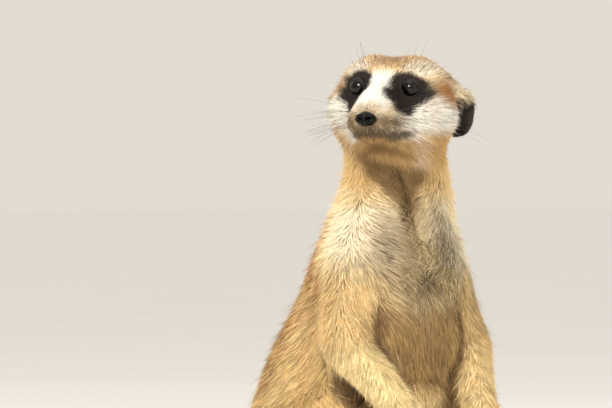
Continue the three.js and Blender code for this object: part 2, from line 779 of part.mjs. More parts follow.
function addArm(side) {
  const { shoulder, elbow, wrist } = LIMBS[side];
  const [elbowPoint, elbowNormal] = miter(shoulder, elbow, wrist);
  const hand = handFrame(side);
  const handNormal = new THREE.Vector3().setFromMatrixColumn(hand, 2).toArray();
  const arm = armField(side);
  const field = melt(BLEND.limb, trunkField, arm);
  const [upperSleeve, lowerSleeve] = armSleeves(side, 0);
  const upperArm = within(
    flesh(field, ...boxAround([shoulder, elbow], MARGIN.upperArm), PITCH.limb), upperSleeve,
    beyond(elbowPoint, reversed(elbowNormal)));
  addSolid(`upper_arm_${side}`, upperArm, materials.coat);
  const forearm = within(
    flesh(field, ...boxAround([elbow, wrist], MARGIN.forearm), PITCH.limb), lowerSleeve,
    beyond(elbowPoint, elbowNormal), beyond(wrist, reversed(handNormal)));
  addSolid(`forearm_${side}`, forearm, materials.coat);
  const tips = vector([0, 0, HAND.palm + HAND.finger]).applyMatrix4(hand).toArray();
  const paw = within(
    flesh(arm, ...boxAround([wrist, tips], MARGIN.hand), PITCH.hand), beyond(wrist, handNormal));
  const clawed = withClaws(paw, hand, handDigits, HAND.claw, CLAW_ROOT_RADIUS.hand);
  addSolid(`hand_${side}`, clawed, materials.coat);
}

function addLeg(side) {
  const { knee, ankle } = LIMBS[side];
  const out = side === 'left' ? 1 : -1;
  const leg = legField(side);
  const field = melt(BLEND.trunk, torsoField, leg);
  const [thighSleeve, shankSleeve] = legSleeves(side, 0);
  const [, shankCut] = legSleeves(side, CUT);
  const { inner, outer, front, back, low, high } = THIGH_ROOM;
  const sides = [-inner * out, outer * out].sort((a, b) => a - b);
  const room = [[sides[0], front, low], [sides[1], back, high]];
  const thigh = without(
    within(flesh(field, ...room, PITCH.thigh), thighSleeve),
    shankCut, footSleeve(side, CUT), ...armSleeves(side, CUT));
  addSolid(`thigh_${side}`, thigh, materials.coat);
  const ankleCut = [ankle[0], ankle[1] - 3, ankle[2] + 1];
  const ankleNormal = [0, 0.45, 0.9];
  const shank = without(within(
    flesh(field, ...boxAround([knee, ankle], MARGIN.shank), PITCH.limb), shankSleeve,
    beyond(ankleCut, ankleNormal)), ...armSleeves(side, CUT));
  addSolid(`shank_${side}`, shank, materials.coat);
  const frame = footFrame(side);
  const ends = [[0, 0, -12], [0, 0, footLength]].map((end) => (
    vector(end).applyMatrix4(frame).toArray()));
  const lowerLeg = melt(BLEND.sole, limbFields[side].shank, limbFields[side].foot);
  const paw = within(
    flesh(lowerLeg, ...boxAround(ends, MARGIN.foot), PITCH.foot),
    beyond(ankleCut, reversed(ankleNormal)));
  const foot = withClaws(paw, frame, footDigits, FOOT.claw, CLAW_ROOT_RADIUS.foot);
  addSolid(`foot_${side}`, within(foot, aboveFloor), materials.coat);
}

addHead();
addTrunk();
addTail();
for (const side of ['left', 'right']) {
  addArm(side);
  addLeg(side);
}

export default meerkat;
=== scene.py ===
"""A meerkat sitting upright on its haunches, looking over its right shoulder.

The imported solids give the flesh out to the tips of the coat. One skin is made from them, sunk by
the coat's depth, and tufts of hair grow from it back out to the solids' surface. Lengths written
as numbers are millimetres until MM turns them into metres.
"""
from math import cos, exp, pi, radians, sin, tau

import bmesh
import bpy
import numpy as np
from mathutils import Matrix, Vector
from mathutils.bvhtree import BVHTree
from mathutils.kdtree import KDTree


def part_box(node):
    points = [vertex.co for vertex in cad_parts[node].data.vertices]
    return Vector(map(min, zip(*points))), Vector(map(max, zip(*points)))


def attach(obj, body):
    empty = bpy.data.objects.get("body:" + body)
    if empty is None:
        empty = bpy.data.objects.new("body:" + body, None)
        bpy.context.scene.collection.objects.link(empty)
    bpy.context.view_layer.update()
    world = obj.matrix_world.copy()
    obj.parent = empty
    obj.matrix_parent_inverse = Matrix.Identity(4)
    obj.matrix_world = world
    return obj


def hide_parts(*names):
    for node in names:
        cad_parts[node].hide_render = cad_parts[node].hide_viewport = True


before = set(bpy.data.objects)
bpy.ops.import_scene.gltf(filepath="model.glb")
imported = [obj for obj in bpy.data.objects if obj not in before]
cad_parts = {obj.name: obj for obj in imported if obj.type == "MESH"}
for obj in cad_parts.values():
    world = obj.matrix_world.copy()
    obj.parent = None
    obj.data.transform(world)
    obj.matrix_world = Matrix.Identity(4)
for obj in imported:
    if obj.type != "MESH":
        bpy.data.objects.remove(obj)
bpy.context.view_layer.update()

MM = 0.001
SIDES = {"left": 1, "right": -1}

# ---- Places: the limbs' joints and the lines that the body follows, as in the solids ----

LIMBS = {
    "right": {
        "shoulder": (-27, -37, 136), "elbow": (-38, -51, 97), "wrist": (-17, -86, 57),
        "hip": (-30, 6, 42), "knee": (-39, -42, 61), "ankle": (-43, -24, 13), "toes": (-41, -86, 4),
    },
    "left": {
        "shoulder": (23, -35, 134), "elbow": (34, -43, 96), "wrist": (24, -78, 57),
        "hip": (30, 6, 42), "knee": (34, -43, 60), "ankle": (40, -24, 13), "toes": (38, -86, 4),
    },
}
ARM_JOINTS = ("shoulder", "elbow", "wrist")
TRUNK_LINE = [(0, 7, 0), (0, -1, 60), (0, -21, 118), (0, -30.5, 157), (0, -36, 206)]
TAIL_LINE = [
    (0, 44, 27), (3, 69, 13), (15, 90, 8.4), (36, 102, 7.2), (60, 101, 6.4),
    (80, 88, 5.6), (92, 68, 4.8), (97, 45, 4.2), (97, 24, 3.6),
]
LEG_LINE = [(0, 50, 40), (0, -90, 20)]
WHORL = (2, -62, 129)  # where the hair of the chest meets on the breastbone
# How many degrees the front line is turned, by height
FRONT_LINE_TURN = ([122, 130, 142, 156, 170, 182, 196], [0, 2, -3, -9, -18, -28, -42])
PARTING = 57  # degrees from the front line to where the hair parts on each side
HAND_DIRECTION = (0.1, -0.33, -0.94)  # of the right hand
DIGITS = 4
BELLY_FOLD = 83  # how high the fold under the belly lies in the middle
LAP = np.array([-19, -26, 76])  # the hollow between a forearm and the thigh under it
LAP_DEEP = np.array([0.5, 0.866, 0])  # the way that this hollow runs in


# ---- Small tools ----


def norm(v):
    return np.linalg.norm(v, axis=-1)


def unit(v):
    v = np.asarray(v, float)
    return v / np.maximum(np.linalg.norm(v, axis=-1, keepdims=True), 1e-12)


def fade(low, high, x):
    """0 up to the low value, 1 from the high one, and smooth between them."""
    t = np.clip((x - low) / (high - low), 0, 1)
    return t * t * (3 - 2 * t)


def bell(x, width):
    return np.exp(-(x / width) ** 2)


def mix(a, b, t):
    t = np.asarray(t)
    return a * (1 - t[..., None]) + np.asarray(b) * t[..., None]


def linear(red, green, blue):
    """A colour given from 0 to 255, as the linear values that shaders use."""
    c = np.array([red, green, blue]) / 255
    return np.where(c <= 0.04045, c / 12.92, ((c + 0.055) / 1.055) ** 2.4)


def paint(colour, *layers):
    """Lays colours, given from 0 to 255, over one another by their amounts, from 0 to 1."""
    for amount, shade in layers:
        colour = mix(colour, linear(*shade), amount)
    return colour


def value_noise(points, cell, seed):
    """Smooth noise from -1 to 1 whose features are about a cell across."""
    place = points / cell + seed * 17.31
    base = np.floor(place).astype(np.int64)
    t = place - base
    t = t * t * (3 - 2 * t)
    total = np.zeros(len(points))
    for corner in np.ndindex(2, 2, 2):
        key = ((base + corner) * (73856093, 19349663, 83492791)).sum(1) + seed * 7919
        key = (key ^ (key >> 13)) * 1274126177
        value = ((key ^ (key >> 16)) & 0xFFFF) / 32767.5 - 1
        total += value * np.prod(np.where(np.array(corner) == 1, t, 1 - t), axis=1)
    return total


def along_line(points, line):
    """For points in mm, how far along the line each lies, from 0 to 1, the line's direction
    there, and the nearest point on it."""
    line = np.array(line, float)
    starts, steps = line[:-1], np.diff(line, axis=0)
    lengths = norm(steps)
    t = np.clip(((points[:, None] - starts) * steps).sum(2) / lengths ** 2, 0, 1)
    nearest = starts + t[..., None] * steps
    best = norm(points[:, None] - nearest).argmin(1)
    row = np.arange(len(points))
    travelled = np.concatenate([[0], np.cumsum(lengths)])[best] + t[row, best] * lengths[best]
    return travelled / lengths.sum(), unit(steps)[best], nearest[row, best]


def frame_along(origin, direction, towards):
    """Axes x, y, z and an origin: z runs along the direction and y leans to the other one."""
    z = unit(direction)
    x = unit(np.cross(towards, z))
    return np.array([x, np.cross(z, x), z]), np.array(origin, float)


def centre_of(node):
    low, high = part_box(node)
    return np.array((low + high) / 2)


def ring(count):
    """The numbers round a ring, each with the next one's."""
    return [(i, (i + 1) % count) for i in range(count)]


def turns(count):
    """The angles round a ring."""
    return [tau * i / count for i in range(count)]


def tube_faces(rings, around, first=0, poles=()):
    """Triangles between rows of equal rings, the first of which starts at a vertex's number, and
    fans that close both ends on the poles' numbers."""
    faces = []
    for i in range(rings - 1):
        for j, k in ring(around):
            a, b = first + i * around + j, first + i * around + k
            faces += [(a, b, b + around), (a, b + around, a + around)]
    if poles:
        last = first + (rings - 1) * around
        faces += [(first + j, poles[0], first + k) for j, k in ring(around)]
        faces += [(last + k, poles[1], last + j) for j, k in ring(around)]
    return faces


def flipped(faces):
    return [face[::-1] for face in faces]


def joined(shapes):
    """Several shapes' vertices and triangles as one."""
    offsets = np.cumsum([0] + [len(verts) for verts, _ in shapes])
    return (np.concatenate([verts for verts, _ in shapes]),
            np.concatenate([np.asarray(tris) + start for (_, tris), start in zip(shapes, offsets)]))


def mesh_from(name, verts, faces, smooth=True):
    """A mesh of triangles, or of quadrilaterals, from arrays."""
    faces = np.asarray(faces, np.int32)
    mesh = bpy.data.meshes.new(name)
    mesh.vertices.add(len(verts))
    mesh.vertices.foreach_set("co", np.asarray(verts, np.float32).ravel())
    mesh.loops.add(faces.size)
    mesh.loops.foreach_set("vertex_index", faces.ravel())
    mesh.polygons.add(len(faces))
    starts = np.arange(0, faces.size, faces.shape[1], dtype=np.int32)
    mesh.polygons.foreach_set("loop_start", starts)
    mesh.polygons.foreach_set("use_smooth", np.full(len(faces), smooth))
    mesh.update(calc_edges=True)
    return mesh


def show(obj):
    bpy.context.scene.collection.objects.link(obj)
    return obj


def add_object(name, mesh, material=None):
    if material:
        mesh.materials.append(material)
    return show(bpy.data.objects.new(name, mesh))


def dress(piece, slot, *nodes):
    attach(piece, "root")
    if nodes:
        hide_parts(*nodes)
    return piece


def add_piece(name, shape, material, slot, *nodes):
    return dress(add_object(name, mesh_from(name, *shape), material), slot, *nodes)


def set_attribute(mesh, name, values):
    """Gives each vertex a value, or a colour."""
    values = np.asarray(values, np.float32)
    kind, key = "FLOAT", "value"
    if values.ndim > 1:
        kind, key, values = "FLOAT_COLOR", "color", np.insert(values, 3, 1, axis=1)
    mesh.attributes.new(name, kind, "POINT").data.foreach_set(key, values.ravel())


def set_places(mesh, verts):
    mesh.vertices.foreach_set("co", verts.astype(np.float32).ravel())
    mesh.update()


def read_rows(items, key, width, kind):
    out = np.empty(len(items) * width, kind)
    items.foreach_get(key, out)
    return out.reshape(-1, width)


def read_mesh(mesh):
    """Vertices, normals and triangles of a mesh."""
    mesh.calc_loop_triangles()
    return (read_rows(mesh.vertices, "co", 3, np.float32).astype(float),
            read_rows(mesh.vertex_normals, "vector", 3, np.float32).astype(float),
            read_rows(mesh.loop_triangles, "vertices", 3, np.int32))


def tree_of(verts, tris):
    return BVHTree.FromPolygons(np.asarray(verts).tolist(), np.asarray(tris).tolist())


# ---- Head frame, from the eyes and the nose ----

EYE_PLACE = (12.4, 21.4, 1.5)  # side, ahead, up, from the head's own origin
NOSE_PLACE = (0, 50.6, -16.4)
NOSE_DROP = radians(29.2)  # how far below straight ahead the nose lies, from between the eyes

EYES = {side: centre_of(f"eye_{side}") for side in SIDES}
EYE_RADIUS = (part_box("eye_left")[1].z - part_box("eye_left")[0].z) / 2 / MM
between_eyes = (EYES["left"] + EYES["right"]) / 2
head_left = unit(EYES["left"] - EYES["right"])
to_nose = centre_of("nose") - between_eyes
to_nose = unit(to_nose - head_left * to_nose.dot(head_left))
head_ahead = cos(NOSE_DROP) * to_nose + sin(NOSE_DROP) * np.cross(to_nose, head_left)
head_up = np.cross(head_ahead, head_left)
HEAD_AXES = np.array([head_left, head_ahead, head_up])
HEAD_ORIGIN = between_eyes - (head_ahead * EYE_PLACE[1] + head_up * EYE_PLACE[2]) * MM


def in_head(points):
    """Points in metres, as side, ahead and up in the head's frame, in mm."""
    return (points - HEAD_ORIGIN) @ HEAD_AXES.T / MM


def from_head(local):
    return HEAD_ORIGIN + np.asarray(local, float) @ HEAD_AXES * MM


# ---- Skin ----

VOXEL = 1.0  # the skin's grid
LABEL_ROUNDS, WEIGHT_ROUNDS = 14, 30  # how often the regions' borders are softened, in two goes
SOFTENING = 0.6  # how far they are each time
SMOOTH_ROUNDS = 60
WEB_ROUNDS = 30  # for the thin webs between an arm and the body
RAY_START = 0.2  # how far off the skin the rays start that measure free distances
MOST_FLESH = 30  # the most flesh that these rays measure
MOST_ROOM = 14  # the most room that a tuft needs in front of the skin
ARM_CREASE = 2.2  # how deep the skin folds in between the arms and the trunk

# By region: how far the solids swell before they are joined, which closes the cuts and the
# narrowest gaps between them and is taken off again later, how deep the coat is, how long its
# tufts are, and how much the skin is smoothed.
REGION_VALUES = {
    "head": (0.45, 1.7, 4.2, 0.16),
    "neck": (0.9, 4.2, 9.5, 0.7),
    "trunk": (1.8, 4.6, 11.5, 1),
    "upper_arm": (1.8, 3.6, 10, 0.5),
    "forearm": (1.6, 2.6, 8, 0.45),
    "hand": (0, 0.6, 2.0, 0.02),
    "thigh": (1.8, 4.2, 10.5, 0.9),
    "shank": (1.6, 2.6, 7, 0.4),
    "foot": (0, 0.6, 2.1, 0.02),
    "tail_base": (0.6, 3.2, 9, 0.5),
    "tail_middle": (0.45, 3, 8.5, 0.4),
    "tail_tip": (0.45, 2.4, 8.5, 0.3),
}
REGIONS = list(REGION_VALUES)
SWELL, COAT_DEPTH, TUFT_LENGTH, SMOOTHING = np.array(list(REGION_VALUES.values())).T
HEAD = REGIONS.index("head")
FLESH_NODES = [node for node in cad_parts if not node.startswith(("eye", "nose", "ear"))]


def shares(weights):
    return dict(zip(REGIONS, weights.T))


def region_of(node):
    trunk = node in ("chest", "belly")
    return REGIONS.index("trunk" if trunk else node.removesuffix("_left").removesuffix("_right"))


def node_arrays(node):
    """A solid's merged vertices, their normals and its triangles."""
    bm = bmesh.new()
    bm.from_mesh(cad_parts[node].data)
    bmesh.ops.remove_doubles(bm, verts=bm.verts, dist=1e-7)
    bmesh.ops.triangulate(bm, faces=bm.faces)
    bmesh.ops.recalc_face_normals(bm, faces=bm.faces)
    bm.normal_update()
    bm.verts.index_update()
    verts = np.array([v.co[:] for v in bm.verts])
    normals = np.array([v.normal[:] for v in bm.verts])
    tris = np.array([[v.index for v in f.verts] for f in bm.faces])
    bm.free()
    return verts, normals, tris


def spindle(start, end, start_radius, end_radius, sides=14, rings=6):
    """A closed round cone between two points in mm, as vertices in metres and triangles."""
    axes, origin = frame_along(start, np.subtract(end, start), (0.31, 0.9, 0.22))
    length = norm(np.subtract(end, start))
    profile = [(-start_radius * cos(a), start_radius * sin(a))
               for a in np.linspace(0.12, pi / 2, rings)]
    profile += [(length + end_radius * sin(a), end_radius * cos(a))
                for a in np.linspace(0, pi / 2 - 0.12, rings)]
    verts = [(0, 0, -start_radius)]
    for height, radius in profile:
        verts += [(cos(turn) * radius, sin(turn) * radius, height) for turn in turns(sides)]
    verts.append((0, 0, length + end_radius))
    faces = tube_faces(len(profile), sides, 1, (0, len(verts) - 1))
    return (np.array(verts) @ axes + origin) * MM, faces


def digit_lines(width, start, length, drop):
    """Where each digit starts and ends in a paw's frame, side by side and fanned a little."""
    lines = []
    for i in range(DIGITS):
        place = (i - (DIGITS - 1) / 2) / (DIGITS / 2)
        end = start + length - abs(place) * length * 0.22
        lines.append(((place * width * 0.44, drop, start), (place * width * 0.66, drop, end)))
    return lines


def paw_parts(side, paw):
    """A paw's frame and its digits."""
    limb = LIMBS[side]
    if paw == "hand":
        inwards, ahead, up = HAND_DIRECTION
        direction = (-inwards * SIDES[side], ahead, up)
        return frame_along(limb["wrist"], direction, (0, 1, 0)), digit_lines(17.5, 11, 15, 0.5)
    heel = np.array([limb["ankle"][0], limb["ankle"][1] + 3, 0])
    direction = (limb["toes"][0] - heel[0], limb["toes"][1] - heel[1], 0)
    return frame_along(heel, direction, (0, 0, -1)), digit_lines(18.5, 45, 16, -3.4)


# For each paw: round cones for its palm or sole and its wrist or heel, each as two ends and their
# radii, the radius of its digits, how far their pads drop, and how far their knuckles rise
PAWS = {
    "hand": ([
        ((0, 0, -5), (0, 0.3, 9), 7.6, 5), ((-3.2, 0.4, 5), (-3.8, 0.4, 12), 4.6, 3.4),
        ((3.2, 0.4, 5), (3.8, 0.4, 12), 4.6, 3.4),
    ], 1.5, 0.5, -0.5),
    "foot": ([
        ((0, -6.9, 3), (0, -5.2, 42), 6.9, 4.9), ((-3.6, -4.6, 34), (-4.4, -4.2, 45.5), 4.4, 3.5),
        ((3.6, -4.6, 34), (4.4, -4.2, 45.5), 4.4, 3.5), ((0, -8, 0), (0, -14, -2), 6.6, 6.4),
    ], 1.75, 0.4, -0.9),
}


def paw_solids(side, paw):
    """Spindles for a paw's palm or sole, its wrist and its digits, each digit with its pad."""
    (axes, origin), digits = paw_parts(side, paw)
    cores, radius, pad, rise = PAWS[paw]
    shapes = [spindle(np.array(start) @ axes + origin, np.array(end) @ axes + origin, *radii)
              for start, end, *radii in cores]
    for start, end in digits:
        knuckle = np.add(start, (0, rise, 6))
        a, k, b = (np.array(p) @ axes + origin for p in (start, knuckle, end))
        shapes.append(spindle(a, k, radius + 0.3, radius + 0.2))
        shapes.append(spindle(k, b, radius + 0.2, radius - 0.15))
        under = np.add(end, (0, pad, -1.6)) @ axes + origin
        shapes.append(spindle(under, under + axes[2] * 1.5, radius - 0.1, radius - 0.3))
    return shapes


def voxel_union(verts, tris):
    """One closed mesh of quadrilaterals round overlapping closed shapes."""
    obj = add_object("voxel_source", mesh_from("voxel_source", verts, tris))
    modifier = obj.modifiers.new("voxels", "REMESH")
    modifier.mode = "VOXEL"
    modifier.voxel_size = VOXEL * MM
    depsgraph = bpy.context.evaluated_depsgraph_get()
    mesh = bpy.data.meshes.new_from_object(obj.evaluated_get(depsgraph))
    source = obj.data
    bpy.data.objects.remove(obj)
    bpy.data.meshes.remove(source)
    return mesh


def keep_outer_shell(mesh):
    """Removes the shells of voids inside, leaving the one that the highest vertex is on."""
    bm = bmesh.new()
    bm.from_mesh(mesh)
    kept, reached = set(), {max(bm.verts, key=lambda v: v.co.z)}
    while reached:
        kept |= reached
        reached = {vert for v in reached for edge in v.link_edges for vert in edge.verts} - kept
    bmesh.ops.delete(bm, geom=[v for v in bm.verts if v not in kept], context="VERTS")
    bm.to_mesh(mesh)
    bm.free()


def neighbour_mean(values, edges, counts):
    columns = values.reshape(len(values), -1)
    total = np.empty_like(columns)
    for i in range(columns.shape[1]):
        total[:, i] = np.bincount(edges[:, 0], columns[edges[:, 1], i], len(values))
        total[:, i] += np.bincount(edges[:, 1], columns[edges[:, 0], i], len(values))
    return (total / counts[:, None]).reshape(values.shape)


def relax(values, links, rounds, amount):
    """Values at the vertices, drawn round by round towards the mean of their neighbours'."""
    for _ in range(rounds):
        values = values + (neighbour_mean(values, *links) - values) * amount
    return values


def free_distance(verts, normals, tris, way, most):
    """How far each vertex is, in mm, from the mesh across the air, or with the way -1 across the
    flesh."""
    tree = tree_of(verts, tris)
    way = normals * way
    start = verts + way * RAY_START * MM
    hits = [tree.ray_cast(tuple(a), tuple(b), most * MM)[3] for a, b in zip(start, way)]
    return np.array([most if hit is None else hit / MM for hit in hits], float)


def trunk_middle(height):
    """How far back the middle of the trunk lies, by height."""
    return np.interp(height, [p[2] for p in TRUNK_LINE], [p[1] for p in TRUNK_LINE])


def around_trunk(points):
    """For points in mm, the angle round the trunk from the line down its front, which the turned
    head winds round the neck, the same in degrees on either side, and the distance in mm."""
    x, y, z = points.T
    y = y - trunk_middle(z)
    turn = np.arctan2(x, -y) - np.radians(np.interp(z, *FRONT_LINE_TURN))
    turn = (turn + pi) % tau - pi
    return turn, np.degrees(np.abs(turn)), np.abs(turn) * np.hypot(x, y)


def under_belly(points, gap):
    """How high points in mm lie over the fold under the belly, which drops to both sides."""
    return points[:, 2] - BELLY_FOLD + 0.018 * gap ** 2


def sculpt_trunk(verts, weights):
    """The groove down the throat, the fold under the belly and the filled hollow over the lap:
    how far the skin moves out, in mm, at each vertex."""
    at = verts / MM
    _, round_back, gap = around_trunk(at)
    z = at[:, 2]
    share = shares(weights)
    body = share["trunk"] + share["neck"]
    groove = bell(gap, 2.6) * fade(128, 136, z) * fade(192, 182, z)
    under = under_belly(at, gap)
    front = fade(62, 40, round_back)
    deep = (at - LAP) @ LAP_DEEP
    filled = bell(norm(at - LAP - deep[:, None] * LAP_DEEP), 8) * fade(30, 20, np.abs(deep))
    shift = 2.2 * bell(under + 10, 6) * front - 1.1 * groove - 2.6 * bell(under, 2.6) * front
    return body * shift + 4 * filled * (body + share["thigh"])


def arm_crease(verts, weights):
    """Where the arms meet the trunk and thighs with a fold, from 0 to 1. The outer side of the
    upper arm runs into the flank with none."""
    at = verts / MM
    share = shares(weights)
    fold = 4 * (share["upper_arm"] + share["forearm"]) * (share["trunk"] + share["thigh"])
    fold = np.clip(fold, 0, 1) * fade(130, 112, at[:, 2])
    for side, sign in SIDES.items():
        limb = LIMBS[side]
        _, _, nearest = along_line(at, [limb[joint] for joint in ARM_JOINTS])
        behind = fade(-1, 5, at[:, 1] - nearest[:, 1]) * (np.sign(at[:, 0]) == sign)
        elbow = limb["elbow"][2]
        fold = fold * (1 - behind * fade(elbow - 14, elbow - 4, at[:, 2]))
    return fold


def mouth_height(ahead):
    """How high the line of the mouth lies, by how far ahead."""
    return np.interp(ahead, [20, 24, 30, 38, 46, 50], [-18.2, -19.6, -21.2, -22.2, -21.8, -20.6])


# Swellings of the face, and hollows: how far the skin moves, the place, in the head's frame and
# alike on both sides, and how wide they are.
FACE_SWELLINGS = [
    (1.0, (6.5, 41, -17.2), 4.4),  # the pads that the whiskers grow from
    (0.6, (4, 42, -25.5), 4),  # the chin
    (0.9, (12, 24, 8.4), 4),  # the brow
    (-0.7, (7, 30, -3), 4),  # before the eye
    (1.3, (22, 15, -12), 8),  # the cheek
    (1.3, (11, 8, 17), 6.5), (-0.8, (0, 8, 18), 4),  # the crown and its middle
    (3.2, (29, -3, 2.6), 4.2),  # over the ear
]


def sculpt_head(verts, weights):
    """Folds of the face: how far the skin moves out, in mm, at each vertex."""
    side, ahead, up = in_head(verts).T
    out = np.abs(side)
    local = np.stack([out, ahead, up], axis=1)
    shift = -1.5 * bell(up - mouth_height(ahead), 0.8) * fade(20, 24, ahead) * fade(19, 15, out)
    for far, place, width in FACE_SWELLINGS:
        shift += far * bell(norm(local - place), width)
    shift -= 0.9 * bell(out, 0.7) * fade(46, 49, ahead) * fade(-17, -18.5, up)  # the philtrum
    return shift * weights[:, HEAD]


def flesh_shapes():
    """Closed shapes that make up the body, as vertices and triangles, and each one's region."""
    shapes, labels = [], []
    for node in FLESH_NODES:
        if not node.startswith(("hand", "foot")):
            verts, normals, tris = node_arrays(node)
            labels.append(region_of(node))
            shapes.append((verts + normals * SWELL[labels[-1]] * MM, tris))
    for side in SIDES:
        eye = EYES[side] / MM
        shapes.append(spindle(eye - head_ahead * 4, eye, 5.2, EYE_RADIUS + SWELL[HEAD]))
        labels.append(HEAD)
        for paw in PAWS:
            solids = paw_solids(side, paw)
            shapes += solids
            labels += [REGIONS.index(paw)] * len(solids)
    root = from_head(in_head(centre_of("nose")) - (0, 3, 0.4)) / MM
    shapes.append(spindle(root - head_ahead * 6, root, 5.4, 4.2))
    return shapes, labels + [HEAD]


def coat_depth(verts, weights):
    """How far the skin lies inside the solids, in mm."""
    swollen = weights @ SWELL
    depth = weights @ COAT_DEPTH + swollen * 0.85
    side, ahead, up = in_head(verts).T
    out, head = np.abs(side), weights[:, HEAD]
    depth += head * 0.7 * fade(13, 20, out) * fade(24, 10, ahead)  # the cheeks
    depth += head * 2.6 * fade(20, 25, out) * fade(8, 0, ahead) * fade(3, -1, up)  # by the ears
    depth -= head * 0.9 * fade(30, 40, ahead)  # the muzzle
    return np.where(verts[:, 2] < 4 * MM, np.minimum(depth, 1.6 + swollen), depth)


def make_skin():
    """The skin's mesh, and the arrays that the coat grows from."""
    shapes, labels = flesh_shapes()
    source = joined(shapes)
    labels = np.repeat(labels, [len(tris) for _, tris in shapes])
    mesh = voxel_union(*source)
    keep_outer_shell(mesh)
    verts, _, _ = read_mesh(mesh)
    edges = read_rows(mesh.edges, "vertices", 2, np.int32)
    links = edges, np.bincount(edges.ravel(), minlength=len(verts)).astype(float)

    tree = tree_of(*source)
    found = [tree.find_nearest(tuple(v))[2] for v in verts]
    sharp = relax(np.eye(len(REGIONS))[labels[found]], links, LABEL_ROUNDS, SOFTENING)
    weights = relax(sharp, links, WEIGHT_ROUNDS, SOFTENING)

    share = shares(sharp)
    crease = arm_crease(verts, sharp)
    strength = weights @ SMOOTHING * 0.5 * (1 - 0.8 * np.clip(crease, 0, 1))
    for one, other in (("head", "neck"), ("forearm", "hand"), ("shank", "foot")):
        strength += share[one] * share[other]
    verts = relax(verts, links, SMOOTH_ROUNDS, np.minimum(strength, 0.5)[:, None])
    set_places(mesh, verts)

    _, normals, tris = read_mesh(mesh)
    thick = free_distance(verts, normals, tris, -1, MOST_FLESH)
    shift = sculpt_head(verts, weights) + sculpt_trunk(verts, weights)
    shift = np.maximum(shift - coat_depth(verts, weights) - ARM_CREASE * crease, -0.3 * thick)
    verts = verts + normals * relax(shift, links, 3, 0.5)[:, None] * MM
    share = shares(weights)
    body = share["trunk"] + share["upper_arm"] + share["forearm"] + share["thigh"]
    web = 0.5 * fade(9, 5, thick) * fade(0.5, 0.9, body)
    verts = relax(verts, links, WEB_ROUNDS, web[:, None])
    verts[:, 2] = np.maximum(verts[:, 2], 0.5 * MM)
    mesh.polygons.foreach_set("use_smooth", np.full(len(mesh.polygons), True))
    set_places(mesh, verts)
    verts, normals, tris = read_mesh(mesh)
    room = relax(free_distance(verts, normals, tris, 1, MOST_ROOM), links, 4, 0.5)
    return mesh, {"verts": verts, "normals": normals, "tris": tris, "weights": weights,
                  "room": room[:, None]}


# ---- Markings: the coat's colour at any place on the body, for skin and tufts alike ----

CREAM = 250, 226, 170
WHITE = 255, 250, 239
BUFF = 252, 213, 148
GOLD = 254, 226, 164
# painted shade: a darker copy of GOLD for the left forearm, which lies away from the key light
PAINTED_SHADE_GOLD = 236, 202, 142
ORANGE = 176, 118, 58
RUST = 158, 94, 52
BROWN = 104, 74, 46
KHAKI = 174, 140, 92
GREY = 154, 146, 130
DARK = 40, 32, 27
MUZZLE = 136, 118, 92
# the chin's tan under the mouth: partly its own colour, partly painted shade
CHIN = 184, 148, 98
FOREHEAD = 184, 148, 110
BACK = 240, 190, 120
BAND = 118, 84, 56
TAIL = 206, 168, 112
PALE_TUFT = 255, 231, 176
BAND_GAP = 13  # between the dark bands across the back


def oval(values, centre, radii, soft=0.25, power=2):
    """1 inside an oval, squarer for a higher power, falling to 0 over a soft edge."""
    terms = (np.abs((v - c) / r) ** power for v, c, r in zip(values, centre, radii))
    return 1 - fade(1 - soft, 1 + soft, sum(terms) ** (1 / power))


def eye_patch(side, beyond, rough, up, front):
    """The dark patch round an eye, which runs down to the cheek."""
    left = side > 0
    out, height = np.where(left, 11.6, 12.5), np.where(left, 0.4, 1.0)
    lobes = [
        ((beyond - out + up * 0.06, rough - height), (0, 0), (8, 7.8), 0.13, 2.8),
        ((beyond, rough), (13.8, -3.6), (6.8, 4.8), 0.2),
        ((beyond + up * 0.12, rough), (10.8, -6.8), (3.8, 4.9), 0.2),
    ]
    return np.maximum.reduce([oval(*lobe) * front for lobe in lobes])


